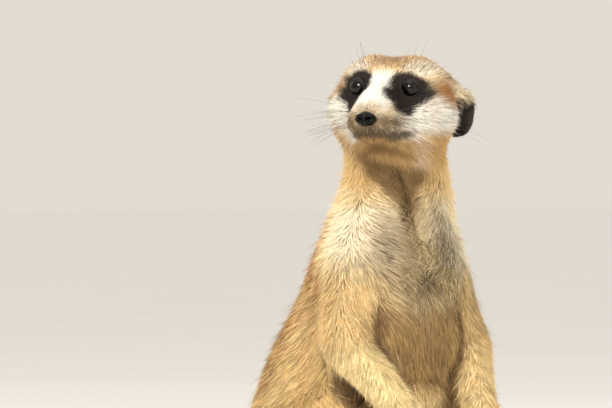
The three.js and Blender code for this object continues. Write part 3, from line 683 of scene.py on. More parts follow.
def head_markings(points, speckle):
    side, ahead, up = in_head(points).T
    out = np.abs(side)
    rough, beyond = up + speckle * 0.9, out + speckle * 0.8  # for ragged edges
    place = (out, ahead, up)
    top = fade(6, 11, rough) * fade(34, 26, ahead)
    middle = fade(9, 3, beyond + 0.25 * np.abs(ahead - 18)) * fade(26, 20, ahead)
    cheek = fade(1, -6, rough) * fade(8, 14, beyond)
    cheek *= fade(48, 42, ahead) * fade(-11, -3, ahead + speckle)
    brow = oval((out, up), (15.2, 10.4), (6.6, 3.7), 0.45) * fade(0, 6, ahead)
    bridge = fade(9, 6, beyond) * oval((ahead, up), (36, -3), (16, 12), 0.3)
    mottle = value_noise(in_head(points) * (0.6, 0.3, 1), 1.3, 17)
    muzzle = fade(27, 40, ahead + 4 * mottle) * fade(-25, -22, up) * fade(-11.5, -15.5, rough)
    jaw = fade(-10 - 5 * fade(8, 24, ahead), -21, rough + speckle) * fade(12, 22, beyond)
    chin = fade(-21, -24.5, rough) * fade(-6, 6, ahead)
    # the fold under the chin, which is darkened as painted shade
    fold = oval((side - 2, up + 0.012 * side ** 2), (0, -27.2), (13, 1.3), 0.8)
    front = fade(3, 8, ahead)
    lips = up - mouth_height(ahead) + speckle * 0.6 + 0.2
    lip = fade(2.8, 0.9, np.abs(lips)) * fade(21, 26, ahead) * fade(18, 14, out)
    rows = np.cos((up + ahead * 0.22) * 2.3) * np.cos(ahead * 1.9)
    pads = oval(place, (8, 38, -17), (5, 9, 4), 0.4)
    return paint(
        linear(236, 212, 172),
        (fade(2, -8, ahead), (220, 180, 124)),  # the nape
        (top, (232, 197, 148)),
        (top * np.maximum(middle, fade(8, -2, ahead)), FOREHEAD),
        (cheek, WHITE),
        (0.95 * brow, (252, 241, 218)),
        (bridge, WHITE),
        (0.95 * oval(place, (24.6, 11.5, -0.3), (5, 7.8, 6.4), 0.6), ORANGE),  # behind the eye
        (oval(place, (31, -8, 5), (9, 10, 8), 0.4), (250, 232, 196)),  # over the ear
        (muzzle * np.clip(0.74 + 0.5 * mottle, 0, 1), MUZZLE),
        (0.6 * oval(place, (0, 48, -11), (5, 3.5, 2.6), 0.5), (172, 150, 120)),  # over the nose
        (jaw, (212, 168, 104)),
        # the chin under the mouth, darker tan: partly the coat's own colour, partly painted shade
        (chin * fade(24, 12, beyond + speckle), CHIN),
        # painted shade: a dark line in the fold under the chin
        (0.75 * fold * fade(12, 20, ahead), (104, 74, 42)),
        (0.92 * oval((beyond, rough), (17.6, -1.8), (4.4, 4.4), 0.3) * front, (54, 43, 35)),
        (eye_patch(side, beyond, rough, up, front), DARK),
        (0.85 * lip, (62, 50, 38)),
        (0.6 * pads * fade(0.2, 0.8, rows), DARK),  # the roots of the whiskers
    )


def body_markings(points, speckle):
    at = points / MM
    x, y, z = at.T
    turn, round_back, gap = around_trunk(at)
    near = round_back < 90
    warp = speckle * 1.5
    ragged = round_back + warp * 6
    streaks = value_noise(points * (1, 1, 0.4), 5 * MM, 9)
    low = fade(150, 110, z)
    rusty = fade(64, 92, ragged) * fade(100, 118, z) * fade(176, 158, z)
    blotch = fade(0.05, 0.6, streaks) * fade(74, 100, ragged) * fade(176, 160, z)
    white = oval((round_back, z + warp + 4 * streaks), (50, 154), (28, 21), 0.6)
    belly = fade(126, 116, z + warp) * fade(62, 40, round_back)
    under = under_belly(at, gap)
    wide = np.interp(z, [120, 136, 150, 170], [46, 40, 29, 17])
    brown_chest = fade(7, -9, gap + warp - wide) * fade(174, 156, z) * fade(108, 128, z)
    brown_chest *= np.where(turn < 0, 0.75 + 0.15 * streaks, 0.36 + 0.25 * streaks)
    inside = 13 + 9 * fade(160, 185, z) - gap - warp
    # the throat's darker V, which is partly painted shade under the chin
    throat = fade(146, 172, z + warp * 2) * fade(0, 1, inside / 9)
    seam = fade(6, 1.6, np.abs(gap - warp * 0.3)) * fade(125, 132, z) * fade(190, 182, z)
    grey = oval((gap, z + warp), (24, 148), (7, 13), 0.5) * (turn > 0)
    whorl = fade(9, 2, np.hypot(x - WHORL[0], z - WHORL[2])) * near
    wave = np.sin(tau * (z + y * 0.12) / BAND_GAP + warp * 0.9)
    bands = fade(-0.1, 0.7, wave) * fade(150, 126, z) * fade(10, 26, z)
    return paint(
        linear(*CREAM),
        (fade(56, 96, ragged + 30 * low) * (0.55 + 0.45 * low), BUFF),
        (rusty * np.clip(0.35 + 0.45 * streaks, 0, 1), (214, 146, 84)),
        (0.88 * white, (246, 236, 208)),
        (fade(160, 182, z + warp * 2 + 3 * streaks), (230, 194, 136)),  # the neck
        (belly, KHAKI),
        # painted light: the left side of the belly, shaded by the left arm, is made lighter
        (0.8 * belly * fade(9, 24, gap) * (turn > 0), (216, 178, 118)),
        # lighter below the fold under the belly: partly the coat's own paler hair, partly painted
        # light where the arms shade it
        (0.95 * belly * fade(2, -4, under), (255, 222, 162)),
        # painted shade: a dark line along the fold under the belly
        (0.35 * belly * fade(3, 0.5, np.abs(under + warp * 0.3)), (124, 94, 58)),
        (brown_chest * near, (160, 142, 114)),
        # the dark V down the throat: partly the coat's own darker hair, partly painted shade under
        # the chin
        (0.9 * throat * (round_back < 100), (100, 76, 45)),
        (seam * (0.5 + 0.4 * fade(140, 165, z)), (62, 45, 28)),
        (grey * np.clip(0.25 + 0.35 * streaks, 0, 1), GREY),
        (0.75 * whorl, (96, 84, 62)),
        (0.9 * fade(88, 120, round_back) * fade(196, 150, z), BACK),
        (0.55 * blotch, (168, 108, 62)),
        (0.85 * bands * fade(98, 150, round_back + warp * 9), BAND),
    )


def markings(points, weights):
    """The coat's colour at points in metres, linear, with some painted shade and light."""
    speckle = value_noise(points, 4 * MM, 3) + 0.5 * value_noise(points, 1.6 * MM, 4)
    body = body_markings(points, speckle)
    head = head_markings(points, speckle)
    share = shares(weights)
    on_left = points[:, 0] > 0
    blend = fade(0.25, 0.75, share["head"])[:, None]
    upper_arm = share["upper_arm"] * fade(144, 126, points[:, 2] / MM)
    return paint(
        body * (1 - blend) + head * blend,
        (0.85 * upper_arm, (238, 196, 134)),
        # painted shade: the left forearm gets a darker copy of the right one's gold
        (share["forearm"] * on_left, PAINTED_SHADE_GOLD),
        (share["forearm"] * ~on_left, GOLD),
        (0.9 * np.clip(share["hand"] + share["foot"], 0, 1), (240, 206, 144)),
        (0.85 * np.clip(share["thigh"] + share["shank"], 0, 1), (255, 214, 148)),
        # painted shade: the creases where the arms meet the trunk and the thighs are darkened
        (0.85 * arm_crease(points, weights) ** 2, (100, 68, 40)),
        (0.9 * np.clip(share["tail_base"] + share["tail_middle"], 0, 1), TAIL),
        (fade(0.25, 0.75, share["tail_tip"] + 0.15 * speckle), DARK),
    )


def tuft_kinds(points, weights):
    """For tufts at points in metres: the share of dark ones and their colour, the share of pale
    ones, and how alike in shade neighbours are, which is most on the neck and the shoulders."""
    at = points / MM
    _, round_back, _ = around_trunk(at)
    z = at[:, 2]
    side, ahead, up = in_head(points).T
    part = shares(weights)
    patchy = fade(-0.3, 0.5, value_noise(points * (1, 1, 0.3), 4.5 * MM, 8))
    trunk = part["trunk"] + part["thigh"] * 0.6 + part["upper_arm"]
    flank = fade(50, 84, round_back) * (0.5 + 0.5 * fade(86, 120, z))
    breast = (part["trunk"] + part["neck"]) * fade(70, 40, round_back) * fade(112, 126, z)
    low_face = part["head"] * fade(0, -6, up)
    share = trunk * flank * (0.1 + 0.55 * patchy)
    share += part["neck"] * fade(90, 130, round_back) * 0.2
    share += breast * (0.2 + 0.22 * patchy)
    share += part["head"] * 0.5 * fade(6, 11, up) * fade(33, 24, ahead)
    share += low_face * 0.16 * fade(9, 14, np.abs(side))
    share += low_face * 0.3 * fade(28, 38, ahead) * fade(-11, -14, up)
    share += part["forearm"] * 0.05 + (part["tail_base"] + part["tail_middle"]) * 0.3
    dark = paint(
        linear(*RUST),
        (fade(0.3, 0.7, part["head"] + part["neck"] * 0.5), BROWN),
        (0.9 * np.clip(breast, 0, 1), (140, 106, 62)),
        (low_face * fade(34, 26, ahead), (166, 134, 92)),
    )
    pale = (part["trunk"] + part["thigh"]) * fade(60, 90, round_back)
    pale = 0.4 * (pale + part["upper_arm"] + part["forearm"])
    shoulder = oval((round_back, z), (66, 164), (26, 18), 0.5)
    return np.clip(share, 0, 0.7), dark, pale, 0.8 * np.maximum(part["neck"], shoulder)


# ---- The lie of the coat ----

# How far the hair leans from straight down towards the back, by the angle past the parting on the
# chest, and by the angle from the front line on the neck and on the belly
CHEST_LEAN = ([-57, -46, -30, -14, -5, 5, 16, 30, 60, 110],
              [0, -0.9, -1.3, -2.1, -1.5, 1.5, 2.0, 1.1, 0.45, 0])
NECK_LEAN = ([0, 8, 42, 51, 63, 76, 104, 150, 180], [0, -0.7, -1.0, -0.9, 1.6, 2.6, 2.6, 1.2, 0])
LOW_LEAN = ([0, 20, 50, 90, 140, 180], [0, -0.12, -0.2, 0.35, 0.3, 0])


def trunk_lie(points):
    """Down the trunk. On the chest it parts down each side, sweeps in to the breastbone and out
    to the flank, and it is almost level round the sides of the neck."""
    turn, round_back, _ = around_trunk(points)
    x, y, z = points.T
    around = unit(np.stack([trunk_middle(z) - y, x, np.zeros_like(x)], axis=1))
    around *= np.where(turn < 0, -1, 1)[:, None]
    parting = PARTING + 9 * value_noise(points * MM, 13 * MM, 21)
    parting += 6 * value_noise(points * MM, 4 * MM, 22)
    neck = fade(168, 184, z)
    chest = fade(106, 122, z) * (1 - neck)
    lean = chest * np.interp(round_back - parting, *CHEST_LEAN)
    lean += neck * np.interp(round_back + PARTING - parting, *NECK_LEAN)
    lean += (1 - chest - neck) * np.interp(round_back, *LOW_LEAN)
    lie = unit(around * lean[:, None] + (0, 0, -1))
    away = points - WHORL
    near = 0.85 * bell(norm(away), 11)[:, None]
    return unit(lie * (1 - near) + unit(away) * near)


def from_eye(local, sign):
    """The way to points in the head's frame from the middle of the eye on one side."""
    return local - np.multiply(EYE_PLACE, (sign, 1, 1))


def head_lie(points):
    local = in_head(points * MM)
    side, ahead, up = local.T
    away = unit(local - (0, 54, -8)) + 0.6 * fade(18, 2, ahead)[:, None] * (0, -0.35, -1)
    ear = (fade(20, 27, np.abs(side)) * fade(-14, -4, up) * fade(8, 0, ahead))[:, None]
    outwards = np.sign(side)[:, None] * (1, 0, 0) + (0, -0.5, -0.35)
    away = away * (1 - ear) + outwards * ear
    for sign in SIDES.values():
        eye = from_eye(local, sign)
        near = 0.6 * bell(norm(eye), 8)[:, None]
        away = away * (1 - near) + unit(eye) * near
    return unit(away) @ HEAD_AXES


def arm_lie(points, side, first, start, end):
    axis = unit(np.subtract(end, start))
    if first == "elbow":
        return np.tile((0.12 * SIDES[side], 0.5, -0.8), (len(points), 1)) + axis * 0.4
    _, _, nearest = along_line(points, [start, end])
    front = np.clip((nearest[:, 1] - points[:, 1]) / 10, -1, 1)
    return front[:, None] * (0, -0.55, 0) + (0, 0, -0.9) + axis * 0.3


# For the limbs' regions: the joints at both ends and how far the hair droops, or None where
# arm_lie says how it lies
LIMB_LIES = {
    "upper_arm": ("shoulder", "elbow", None), "forearm": ("elbow", "wrist", None),
    "hand": ("elbow", "wrist", 0.6), "thigh": ("hip", "knee", 0.9),
    "shank": ("knee", "ankle", 0.2), "foot": ("ankle", "toes", 0.1),
}


def limb_lie(points, first, last, droop):
    lie = np.zeros_like(points)
    for side, sign in SIDES.items():
        mine = np.sign(points[:, 0]) == sign
        start, end = LIMBS[side][first], LIMBS[side][last]
        if droop is None:
            lie[mine] = arm_lie(points, side, first, start, end)[mine]
        else:
            lie[mine] = unit(np.subtract(end, start)) + (0, 0, -droop)
    return unit(lie)


def comb(points, normals, weights):
    """The direction that hair lies in at points in metres, along the skin."""
    at = points / MM
    flows = {name: limb_lie(at, *ends) for name, ends in LIMB_LIES.items()}
    flows["head"] = head_lie(at)
    flows["neck"] = flows["trunk"] = trunk_lie(at)
    _, tail, _ = along_line(at, TAIL_LINE)
    lie = np.zeros_like(at)
    for name, share in shares(weights).items():
        lie += share[:, None] * flows.get(name, tail)
    lie -= normals * (lie * normals).sum(1, keepdims=True)
    return unit(lie)


# ---- Tufts ----

PATCH = 0.003  # of the bake map, for each tuft
SOFT_NORMAL = 0.6  # how far a tuft is shaded as the skin under it is
STRAY = 0.45  # how far tufts carry the markings' colours over their edges
STRAYS = 0.05  # the share of tufts that stand out past the rest
ROOT_DEPTH = 0.35
TIP_CLEARANCE, BASE_CLEARANCE = 0.3, 0.05  # over the floor
CORNERS = 4  # of a tuft: three at its base, and its tip
TUFT_FACES = np.array([(0, 2, 1), (0, 1, 3), (1, 2, 3), (2, 0, 3)])


def scatter(skin, chance, count, rng):
    """Roots spread over the skin, evenly but for the chance at each vertex."""
    verts, tris = skin["verts"], skin["tris"]
    a, b, c = (verts[tris[:, i]] for i in range(3))
    area = norm(np.cross(b - a, c - a)) / 2 * chance[tris].mean(1)
    edge = np.cumsum(area) / area.sum()
    places = (np.arange(count) + rng.random(count)) / count
    tri = np.minimum(np.searchsorted(edge, places), len(tris) - 1)
    u, v = rng.random(count), rng.random(count)
    over = u + v > 1
    u[over], v[over] = 1 - u[over], 1 - v[over]
    share = np.stack([1 - u - v, u, v], axis=1)[..., None]
    keys = ("verts", "normals", "weights", "room")
    return [(skin[key][tris[tri]] * share).sum(1) for key in keys]


def settle(points, height, tree):
    """Moves each point to its height above the skin's nearest place."""
    found = [tree.find_nearest(tuple(point))[:2] for point in points]
    place, normal = (np.array([hit[i] for hit in found]) for i in range(2))
    return place + normal * height[:, None]


def unwrap(points, line):
    """Where each point lies on a map of the skin rolled off its middle line."""
    travelled, direction, nearest = along_line(points / MM, line)
    out = points / MM - nearest
    across = unit(np.cross(direction, (0.2, 1, 0.35)))
    ahead = np.cross(across, direction)
    turn = np.arctan2((out * across).sum(1), (out * ahead).sum(1)) / tau + 0.5
    return np.stack([0.02 + 0.96 * turn, 0.02 + 0.96 * travelled], axis=1)


def tuft_size(root, weights, room, length, rise, count, rng):
    """How long tufts are at their roots, and how high their tips stand."""
    local = in_head(root)
    side, ahead, up = np.abs(local[:, 0]), local[:, 1], local[:, 2]
    share = shares(weights)
    ruff = share["head"] * fade(15, 22, side) * bell(ahead - 15, 9)
    beside_ear = share["head"] * fade(17, 22, side) * fade(6, -2, ahead) * fade(-8, 0, up)
    beside_ear *= fade(-14, -6, ahead)
    long = weights @ TUFT_LENGTH * length * (1 + 0.9 * ruff + 1.1 * beside_ear)
    long *= 1 - 0.5 * share["head"] * fade(22, 40, ahead)
    for sign in SIDES.values():
        long *= 0.3 + 0.7 * fade(6, 14, norm(from_eye(local, sign)))
    long *= rng.uniform(0.6, 1.15, count)
    height = rise * (weights @ COAT_DEPTH + 2.4 * ruff + 3 * beside_ear)
    height *= rng.uniform(0.35, 1.05, count)
    shaggy = share["neck"] * fade(96, 116, around_trunk(root / MM)[1])
    height *= np.where(rng.random(count) < STRAYS + 0.2 * shaggy, 1.9, 1)
    tight = np.clip(room[:, 0] / 9, 0.15, 1)
    return long * tight, np.minimum(height, 0.7 * long) * tight ** 2


def gather(root, lock_size, rng):
    """The tuft that leads each tuft's lock, and how light the lock is."""
    leaders = rng.choice(len(root), max(len(root) // lock_size, 1), replace=False)
    finder = KDTree(len(leaders))
    for i, leader in enumerate(leaders):
        finder.insert(root[leader], i)
    finder.balance()
    nearest = np.array([finder.find(place)[1] for place in root])
    return leaders[nearest], rng.random(len(leaders))[nearest]


def tuft_colours(place, weights, colouring, dark_share, dark, pale_share, rng):
    """The markings' colours, carried a little over their edges, with dark tufts and pale ones."""
    count = len(place)
    ticked = rng.random(count) < dark_share
    colour = colouring(place + rng.normal(0, STRAY * MM, (count, 3)), weights)
    colour = mix(colour, np.minimum(colour, dark), ticked * rng.uniform(0.5, 0.95, count))
    bright = (rng.random(count) < pale_share) & ~ticked
    bright = bright * rng.uniform(0.4, 1, count) * fade(0.15, 0.4, colour.mean(1))
    return mix(colour, np.maximum(colour, linear(*PALE_TUFT)), bright)


def grow(name, skin, tree, chance, count, line, material, slot, *, seed, length=1.0,
         width=0.27, rise=1.0, wander=0.13, lock=0.5, lock_size=9, colouring=markings):
    """A coat piece: tapered three-sided tufts rooted in the skin."""
    rng = np.random.default_rng(seed)
    root, normal, weights, room = scatter(skin, chance, count, rng)
    normal = unit(normal)
    lie = comb(root, normal, weights)
    sway = rng.normal(0, wander, count) + 0.2 * value_noise(root, 7 * MM, seed)
    lie = unit(lie + np.cross(normal, lie) * sway[:, None])
    long, height = tuft_size(root, weights, room, length, rise, count, rng)
    leader, shade = gather(root, lock_size, rng)
    pull = lock * rng.uniform(0.3, 1.3, count)[:, None]
    reach = (long * MM)[:, None]
    tip, goal = root + lie * reach, root[leader] + lie[leader] * reach
    tip = settle(tip + (goal - tip) * pull, height * MM, tree)
    base = root - normal * (ROOT_DEPTH * MM)
    wide = (width * rng.uniform(0.7, 1.3, count) * MM)[:, None]
    tip[:, 2] = np.maximum(tip[:, 2], TIP_CLEARANCE * MM)
    run = unit(tip - base)
    across = unit(np.cross(normal, run))
    ridge = np.cross(run, across)
    verts = [base - across * wide, base + across * wide, base + ridge * wide * 0.9, tip]
    verts = np.stack(verts, axis=1).reshape(-1, 3)
    verts[:, 2] = np.maximum(verts[:, 2], BASE_CLEARANCE * MM)
    faces = (np.arange(count)[:, None, None] * CORNERS + TUFT_FACES).reshape(-1, 3)
    mesh = add_piece(name, (verts, faces), material, slot).data
    _, own, _ = read_mesh(mesh)
    soft = own * (1 - SOFT_NORMAL) + np.repeat(normal, CORNERS, axis=0) * SOFT_NORMAL
    mesh.normals_split_custom_set_from_vertices(unit(soft))
    *kinds, evenness = tuft_kinds(root, weights)
    colour = tuft_colours(root, weights, colouring, *kinds, rng)
    set_attribute(mesh, "coat", np.repeat(colour, CORNERS, axis=0))
    set_attribute(mesh, "along", np.tile([0.0, 0.0, 0.0, 1.0], count))
    for key, value in (("strand", rng.random(count)), ("lock", shade)):
        set_attribute(mesh, key, np.repeat(1 - (1 - value) * (1 - evenness), CORNERS))
    offset = np.array([(-0.5, -0.5), (0.5, -0.5), (0, -0.5), (0, 0.5)]) * PATCH
    uv = (unwrap(root, line)[:, None] + offset).reshape(-1, 2)
    layer = mesh.uv_layers.new(name="OFBake")
    layer.data.foreach_set("uv", uv[faces.ravel()].astype(np.float32).ravel())


# ---- Materials ----


class Surface:
    """A node material, with its Principled shader's sockets and makers of what feeds them."""

    def __init__(self, name, roughness, specular):
        self.material = bpy.data.materials.new(name)
        self.material.use_nodes = True
        self.tree = self.material.node_tree
        self.shader = self.tree.nodes["Principled BSDF"]
        self.fill(self.shader, {"Roughness": roughness, "Specular IOR Level": specular})

    def fill(self, node, sockets):
        """Links a node's sockets where they are given other nodes' ones, and sets the rest."""
        for name, value in sockets.items():
            if isinstance(value, bpy.types.NodeSocket):
                self.tree.links.new(value, node.inputs[name])
            else:
                node.inputs[name].default_value = value

    def node(self, kind, output, settings=(), **sockets):
        node = self.tree.nodes.new(f"ShaderNode{kind}")
        for name, value in dict(settings).items():
            setattr(node, name, value)
        self.fill(node, sockets)
        return node.outputs[output]

    def attribute(self, name, output="Fac"):
        return self.node("Attribute", output, {"attribute_name": name})

    def ramp(self, factor, *stops):
        colour = self.node("ValToRGB", "Color", Fac=factor)
        elements = colour.node.color_ramp.elements
        while len(elements) < len(stops):
            elements.new(0.5)
        for element, (position, value) in zip(elements, stops):
            element.position = position
            element.color = (*np.broadcast_to(value, 3), 1)
        return colour

    def noise(self, scale, detail=3, stretch=(1, 1, 1)):
        """Noise in the object's own space, drawn out along an axis where stretch says."""
        place = self.node("TexCoord", "Object")
        if stretch != (1, 1, 1):
            place = self.node("Mapping", "Vector", Vector=place, Scale=stretch)
        return self.node("TexNoise", "Fac", Vector=place, Scale=scale, Detail=detail)

    def multiply(self, a, b):
        settings = {"data_type": "RGBA", "blend_type": "MULTIPLY"}
        return self.node("Mix", "Result", settings, Factor=1, A=a, B=b)

    def bump(self, height, strength, distance):
        normal = self.node("Bump", "Normal", Height=height, Strength=strength, Distance=distance)
        self.fill(self.shader, {"Normal": normal})

    def coloured(self, colour):
        """The finished material in a colour."""
        self.fill(self.shader, {"Base Color": colour})
        return self.material


def coat_material(name, dark_root=0.55, dark_strand=0.42, dark_lock=0.55, even_lock=0.92):
    """Hair: darker at the root, and uneven from lock to lock and from strand to strand."""
    hair = Surface(name, 0.6, 0.2)
    colour = hair.attribute("coat", "Color")
    for key, *stops in (
        ("along", (0, dark_root), (0.5, 0.94), (1, 1.0)),
        ("lock", (0, dark_lock), (0.4, even_lock), (1, 1.0)),
        ("strand", (0, dark_strand), (0.3, 0.9), (0.6, 1.0), (1, 1.0)),
    ):
        colour = hair.multiply(colour, hair.ramp(hair.attribute(key), *stops))
    patches = hair.ramp(hair.noise(90), (0.3, 0.9), (0.65, 1.0))
    return hair.coloured(hair.multiply(colour, patches))


def skin_material():
    under = Surface("skin_under_coat", 0.75, 0.2)
    hairs = under.noise(900, 4, (1, 1, 0.25))
    under.bump(hairs, 0.6, 0.0006)
    shade = under.ramp(hairs, (0.3, 0.4), (0.7, 0.75))
    return under.coloured(under.multiply(under.attribute("coat", "Color"), shade))


def hide_material(name, shade, roughness, scale, strength, specular=0.5):
    """Bare skin, such as the nose's, the lids' and the ears', pebbled by noise."""
    hide = Surface(name, roughness, specular)
    colour = linear(*shade)
    grain = hide.noise(scale, 5)
    hide.bump(grain, strength, 0.0005)
    return hide.coloured(hide.ramp(grain, (0.3, colour * 0.55), (0.72, colour * 1.35)))


def eye_material():
    """A dark brown iris round a black pupil, wet and smooth."""
    eye = Surface("eye_wet", 0.13, 0.23)
    rim = (0.002, 0.0015, 0.001)
    colour = eye.ramp(
        eye.attribute("iris"), (0.0, 0.001), (0.36, 0.001), (0.44, (0.005, 0.003, 0.002)),
        (0.7, (0.004, 0.0025, 0.0018)), (0.8, rim), (1.0, rim))
    fibres = eye.ramp(eye.noise(1400, 4), (0.3, 0.5), (0.7, 1.0))
    return eye.coloured(eye.multiply(colour, fibres))


def floor_material():
    pale = Surface("pale_floor", 0.95, 0.3)
    return pale.coloured(pale.ramp(pale.noise(3), (0.3, 0.99 * 0.97), (0.7, 0.99)))


# ---- Eyes, lids, nose, ears, claws and whiskers ----

IRIS_REACH = 1.15  # the angle from an eye's middle at which the iris ends
EYE_END = pi * 0.92  # the angle of the last ring, behind the eye
LID_OPENING = 0.95  # the angle at which a lid starts
# How far each ring of a lid lies past its opening, as an angle, and how high over the eye
LID_PROFILE = [(-0.06, -0.6), (-0.06, 0.05), (-0.01, 0.3), (0.07, 0.42), (0.2, 0.36), (0.4, 0.1),
               (0.7, -0.6), (1.0, -1.6)]


def on_eye(reach, tilt, turn):
    """A place at a distance from an eye's middle, an angle from where it faces and one round."""
    return (reach * sin(tilt) * cos(turn), reach * sin(tilt) * sin(turn),
            reach * cos(tilt))


def place_on_eye(side, verts):
    """Vertices in an eye's own frame, which runs along its gaze, moved to the eye."""
    gaze = unit((0.36 * SIDES[side] - 0.12, 0.93, -0.17)) @ HEAD_AXES
    axes, _ = frame_along((0, 0, 0), gaze, (0, 0, 1))
    return np.array(verts) @ axes * MM + EYES[side]


def make_eye(side, material):
    """An eyeball with a clear bulge over the iris. The grid runs from its front to its back."""
    rings, around = 28, 48
    verts, iris = [(0, 0, EYE_RADIUS * 1.035)], [0.0]
    for i in range(1, rings):
        tilt = EYE_END * i / (rings - 1)
        bulge = 1 + 0.035 * exp(-(tilt / 0.62) ** 4)
        verts += [on_eye(EYE_RADIUS * bulge, tilt, turn) for turn in turns(around)]
        iris += [min(tilt / IRIS_REACH, 1.0)] * around
    verts.append((0, 0, -EYE_RADIUS))
    faces = flipped(tube_faces(rings - 1, around, 1, (0, len(verts) - 1)))
    shape = place_on_eye(side, verts), faces
    piece = add_piece(f"eyeball_{side}", shape, material, "eye", f"eye_{side}")
    set_attribute(piece.data, "iris", iris + [1.0])


def make_lids(side, material):
    """A ring of lid round the eye's opening, thick at its edge, that dives under the fur."""
    around = 72
    verts = []
    for step, rise in LID_PROFILE:
        for turn in turns(around):
            corner = abs(cos(turn)) ** 6 * 0.13
            droop = 0.05 * max(sin(turn), 0) + 0.06 * abs(sin(turn))
            verts.append(on_eye(EYE_RADIUS + rise, LID_OPENING + corner - droop + step, turn))
    faces = [(i * around + j, m * around + j, m * around + k, i * around + k)
             for i, m in ring(len(LID_PROFILE)) for j, k in ring(around)]
    add_piece(f"lids_{side}", (place_on_eye(side, verts), faces), material, "ear_skin")


def make_nose(material):
    """The nose pad, with comma-shaped nostrils and a groove down its middle."""
    rings, around = 60, 96
    tilt, turn = np.meshgrid(np.linspace(0, pi, rings)[1:-1], turns(around), indexing="ij")
    way = [np.sin(tilt) * np.cos(turn), np.cos(tilt), np.sin(tilt) * np.sin(turn)]
    way = np.stack(way, axis=-1).reshape(-1, 3)
    way = np.concatenate([[[0, 1, 0]], way, [[0, -1, 0]]])
    shape = way * (5.3, 4.6, 3.6)
    side, ahead, up = shape.T
    out = np.abs(side)
    front = fade(-0.5, 1.5, ahead)
    groove = -0.5 * bell(side, 0.45) * fade(1.4, -1.2, up) * front
    pit = -2.9 * bell(out - 2.5, 1.2) * bell(up + 0.1, 1.0) * front
    slit = -1.2 * bell(up - 0.2 - (out - 2.5) * 0.35, 0.42) * fade(2.2, 3.2, out)
    slit *= fade(5.2, 4.2, out) * fade(-2.5, 0, ahead)
    wing = 0.45 * bell(out - 3.3, 1.1) * bell(up - 1.6, 0.9)
    shape = shape + way * (groove + pit + slit + wing)[:, None]
    shape[:, 2] -= 0.5 * fade(0, 4, out) * (up > 0)
    faces = flipped(tube_faces(rings - 2, around, 1, (0, len(way) - 1)))
    add_piece("nose_pad", (from_head(shape + NOSE_PLACE), faces), material, "nose_skin", "nose")


EAR_PLACE = (24.5, -4.5, -8)  # of the middle of its root
EAR_SWEEP = radians(24)  # how far its free edge is swept back
EAR_REACH = 11.7
EAR_HALF_HEIGHT = 10.8
EAR_END = 86  # degrees from its middle to its upper and lower ends


def make_ear(side, material):
    """A low crescent flap, cupped forwards, with a rolled rim and folds inside."""
    arc, loop = 48, 28
    verts = []
    for turn in np.radians(np.linspace(-EAR_END, EAR_END, arc)):
        wide = EAR_REACH * cos(turn) ** 0.55
        tall = EAR_HALF_HEIGHT * sin(turn)
        for t in turns(loop):
            reach = 0.5 - 0.5 * cos(t)
            inside = sin(t) > 0
            thick = (0.75 if inside else -0.95) * abs(sin(t)) ** 0.6
            hollow = -2.6 * sin(pi * min(reach / 0.8, 1)) * cos(turn)
            rim = 6 * max(reach - 0.75, 0)
            ridge = 0.8 * exp(-((reach - 0.52) / 0.09) ** 2) * cos(turn) * inside
            depth = hollow + rim + ridge + thick
            out = wide * reach
            verts.append((
                (out * cos(EAR_SWEEP) + depth * sin(EAR_SWEEP)) * SIDES[side],
                depth * cos(EAR_SWEEP) - out * sin(EAR_SWEEP),
                tall * (0.96 - 0.06 * reach if turn > 0 else 0.7 + 0.3 * reach),
            ))
    ends = np.mean([verts[:loop], verts[-loop:]], axis=1)
    faces = tube_faces(arc, loop, 0, (len(verts), len(verts) + 1))
    if SIDES[side] < 0:
        faces = flipped(faces)
    world = from_head(np.concatenate([verts, ends]) + np.multiply(EAR_PLACE, (SIDES[side], 1, 1)))
    return add_piece(f"ear_flap_{side}", (world, faces), material, "ear_skin", f"ear_{side}")


def ear_markings(points, _):
    """Black, with the pale hair of the head running on to the ear's top and root."""
    side, _, up = in_head(points).T
    out = np.abs(side)
    speckle = value_noise(points, 2 * MM, 5)
    top = fade(-0.2, 1, up + 4 * fade(34, 28, out) + speckle * 0.5)
    pale = np.maximum(top, fade(24.8, 24, out + speckle * 0.4))
    return paint(linear(*DARK), (pale, (244, 226, 190)))


def grow_ear_coat(side, ear, material, line):
    """Short hair over an ear, long at its top."""
    verts, normals, tris = read_mesh(ear.data)
    weights = np.tile(np.eye(len(REGIONS))[HEAD], (len(verts), 1))
    flap = {"verts": verts, "normals": normals, "tris": tris, "weights": weights,
            "room": np.full((len(verts), 1), float(MOST_ROOM))}
    across, _, up = in_head(verts).T
    top = fade(-2, 1, up) * fade(36, 27, np.abs(across))
    for name, chance, count, slot, seed, length, width, rise, wander, lock in (
        ("coat_ear", np.ones(len(verts)), 7000, "ear_skin", 31, 0.42, 0.16, 0.45, 0.25, 0.1),
        ("coat_ear_top", top, 4500, "face_coat", 41, 0.6, 0.2, 0.7, 0.3, 0.2),
    ):
        grow(f"{name}_{side}", flap, tree_of(verts, tris), chance, count, line, material, slot,
             seed=seed + SIDES[side], length=length, width=width, rise=rise, wander=wander,
             lock=lock, colouring=ear_markings)


def tapered_tube(path, radii, sides):
    """A closed tube along points in metres, as vertices and triangles."""
    run = unit(np.gradient(path, axis=0))
    across = unit(np.cross(run, (0.37, 0.21, 0.9)))
    lift = np.cross(run, across)
    turn = np.array(turns(sides))[None, :, None]
    rims = across[:, None] * np.cos(turn) + lift[:, None] * np.sin(turn)
    verts = (path[:, None] + rims * radii[:, None, None]).reshape(-1, 3)
    last = (len(path) - 1) * sides
    faces = tube_faces(len(path), sides)
    for j in range(1, sides - 1):
        faces += [(0, j + 1, j), (last, last + j, last + j + 1)]
    return verts, faces


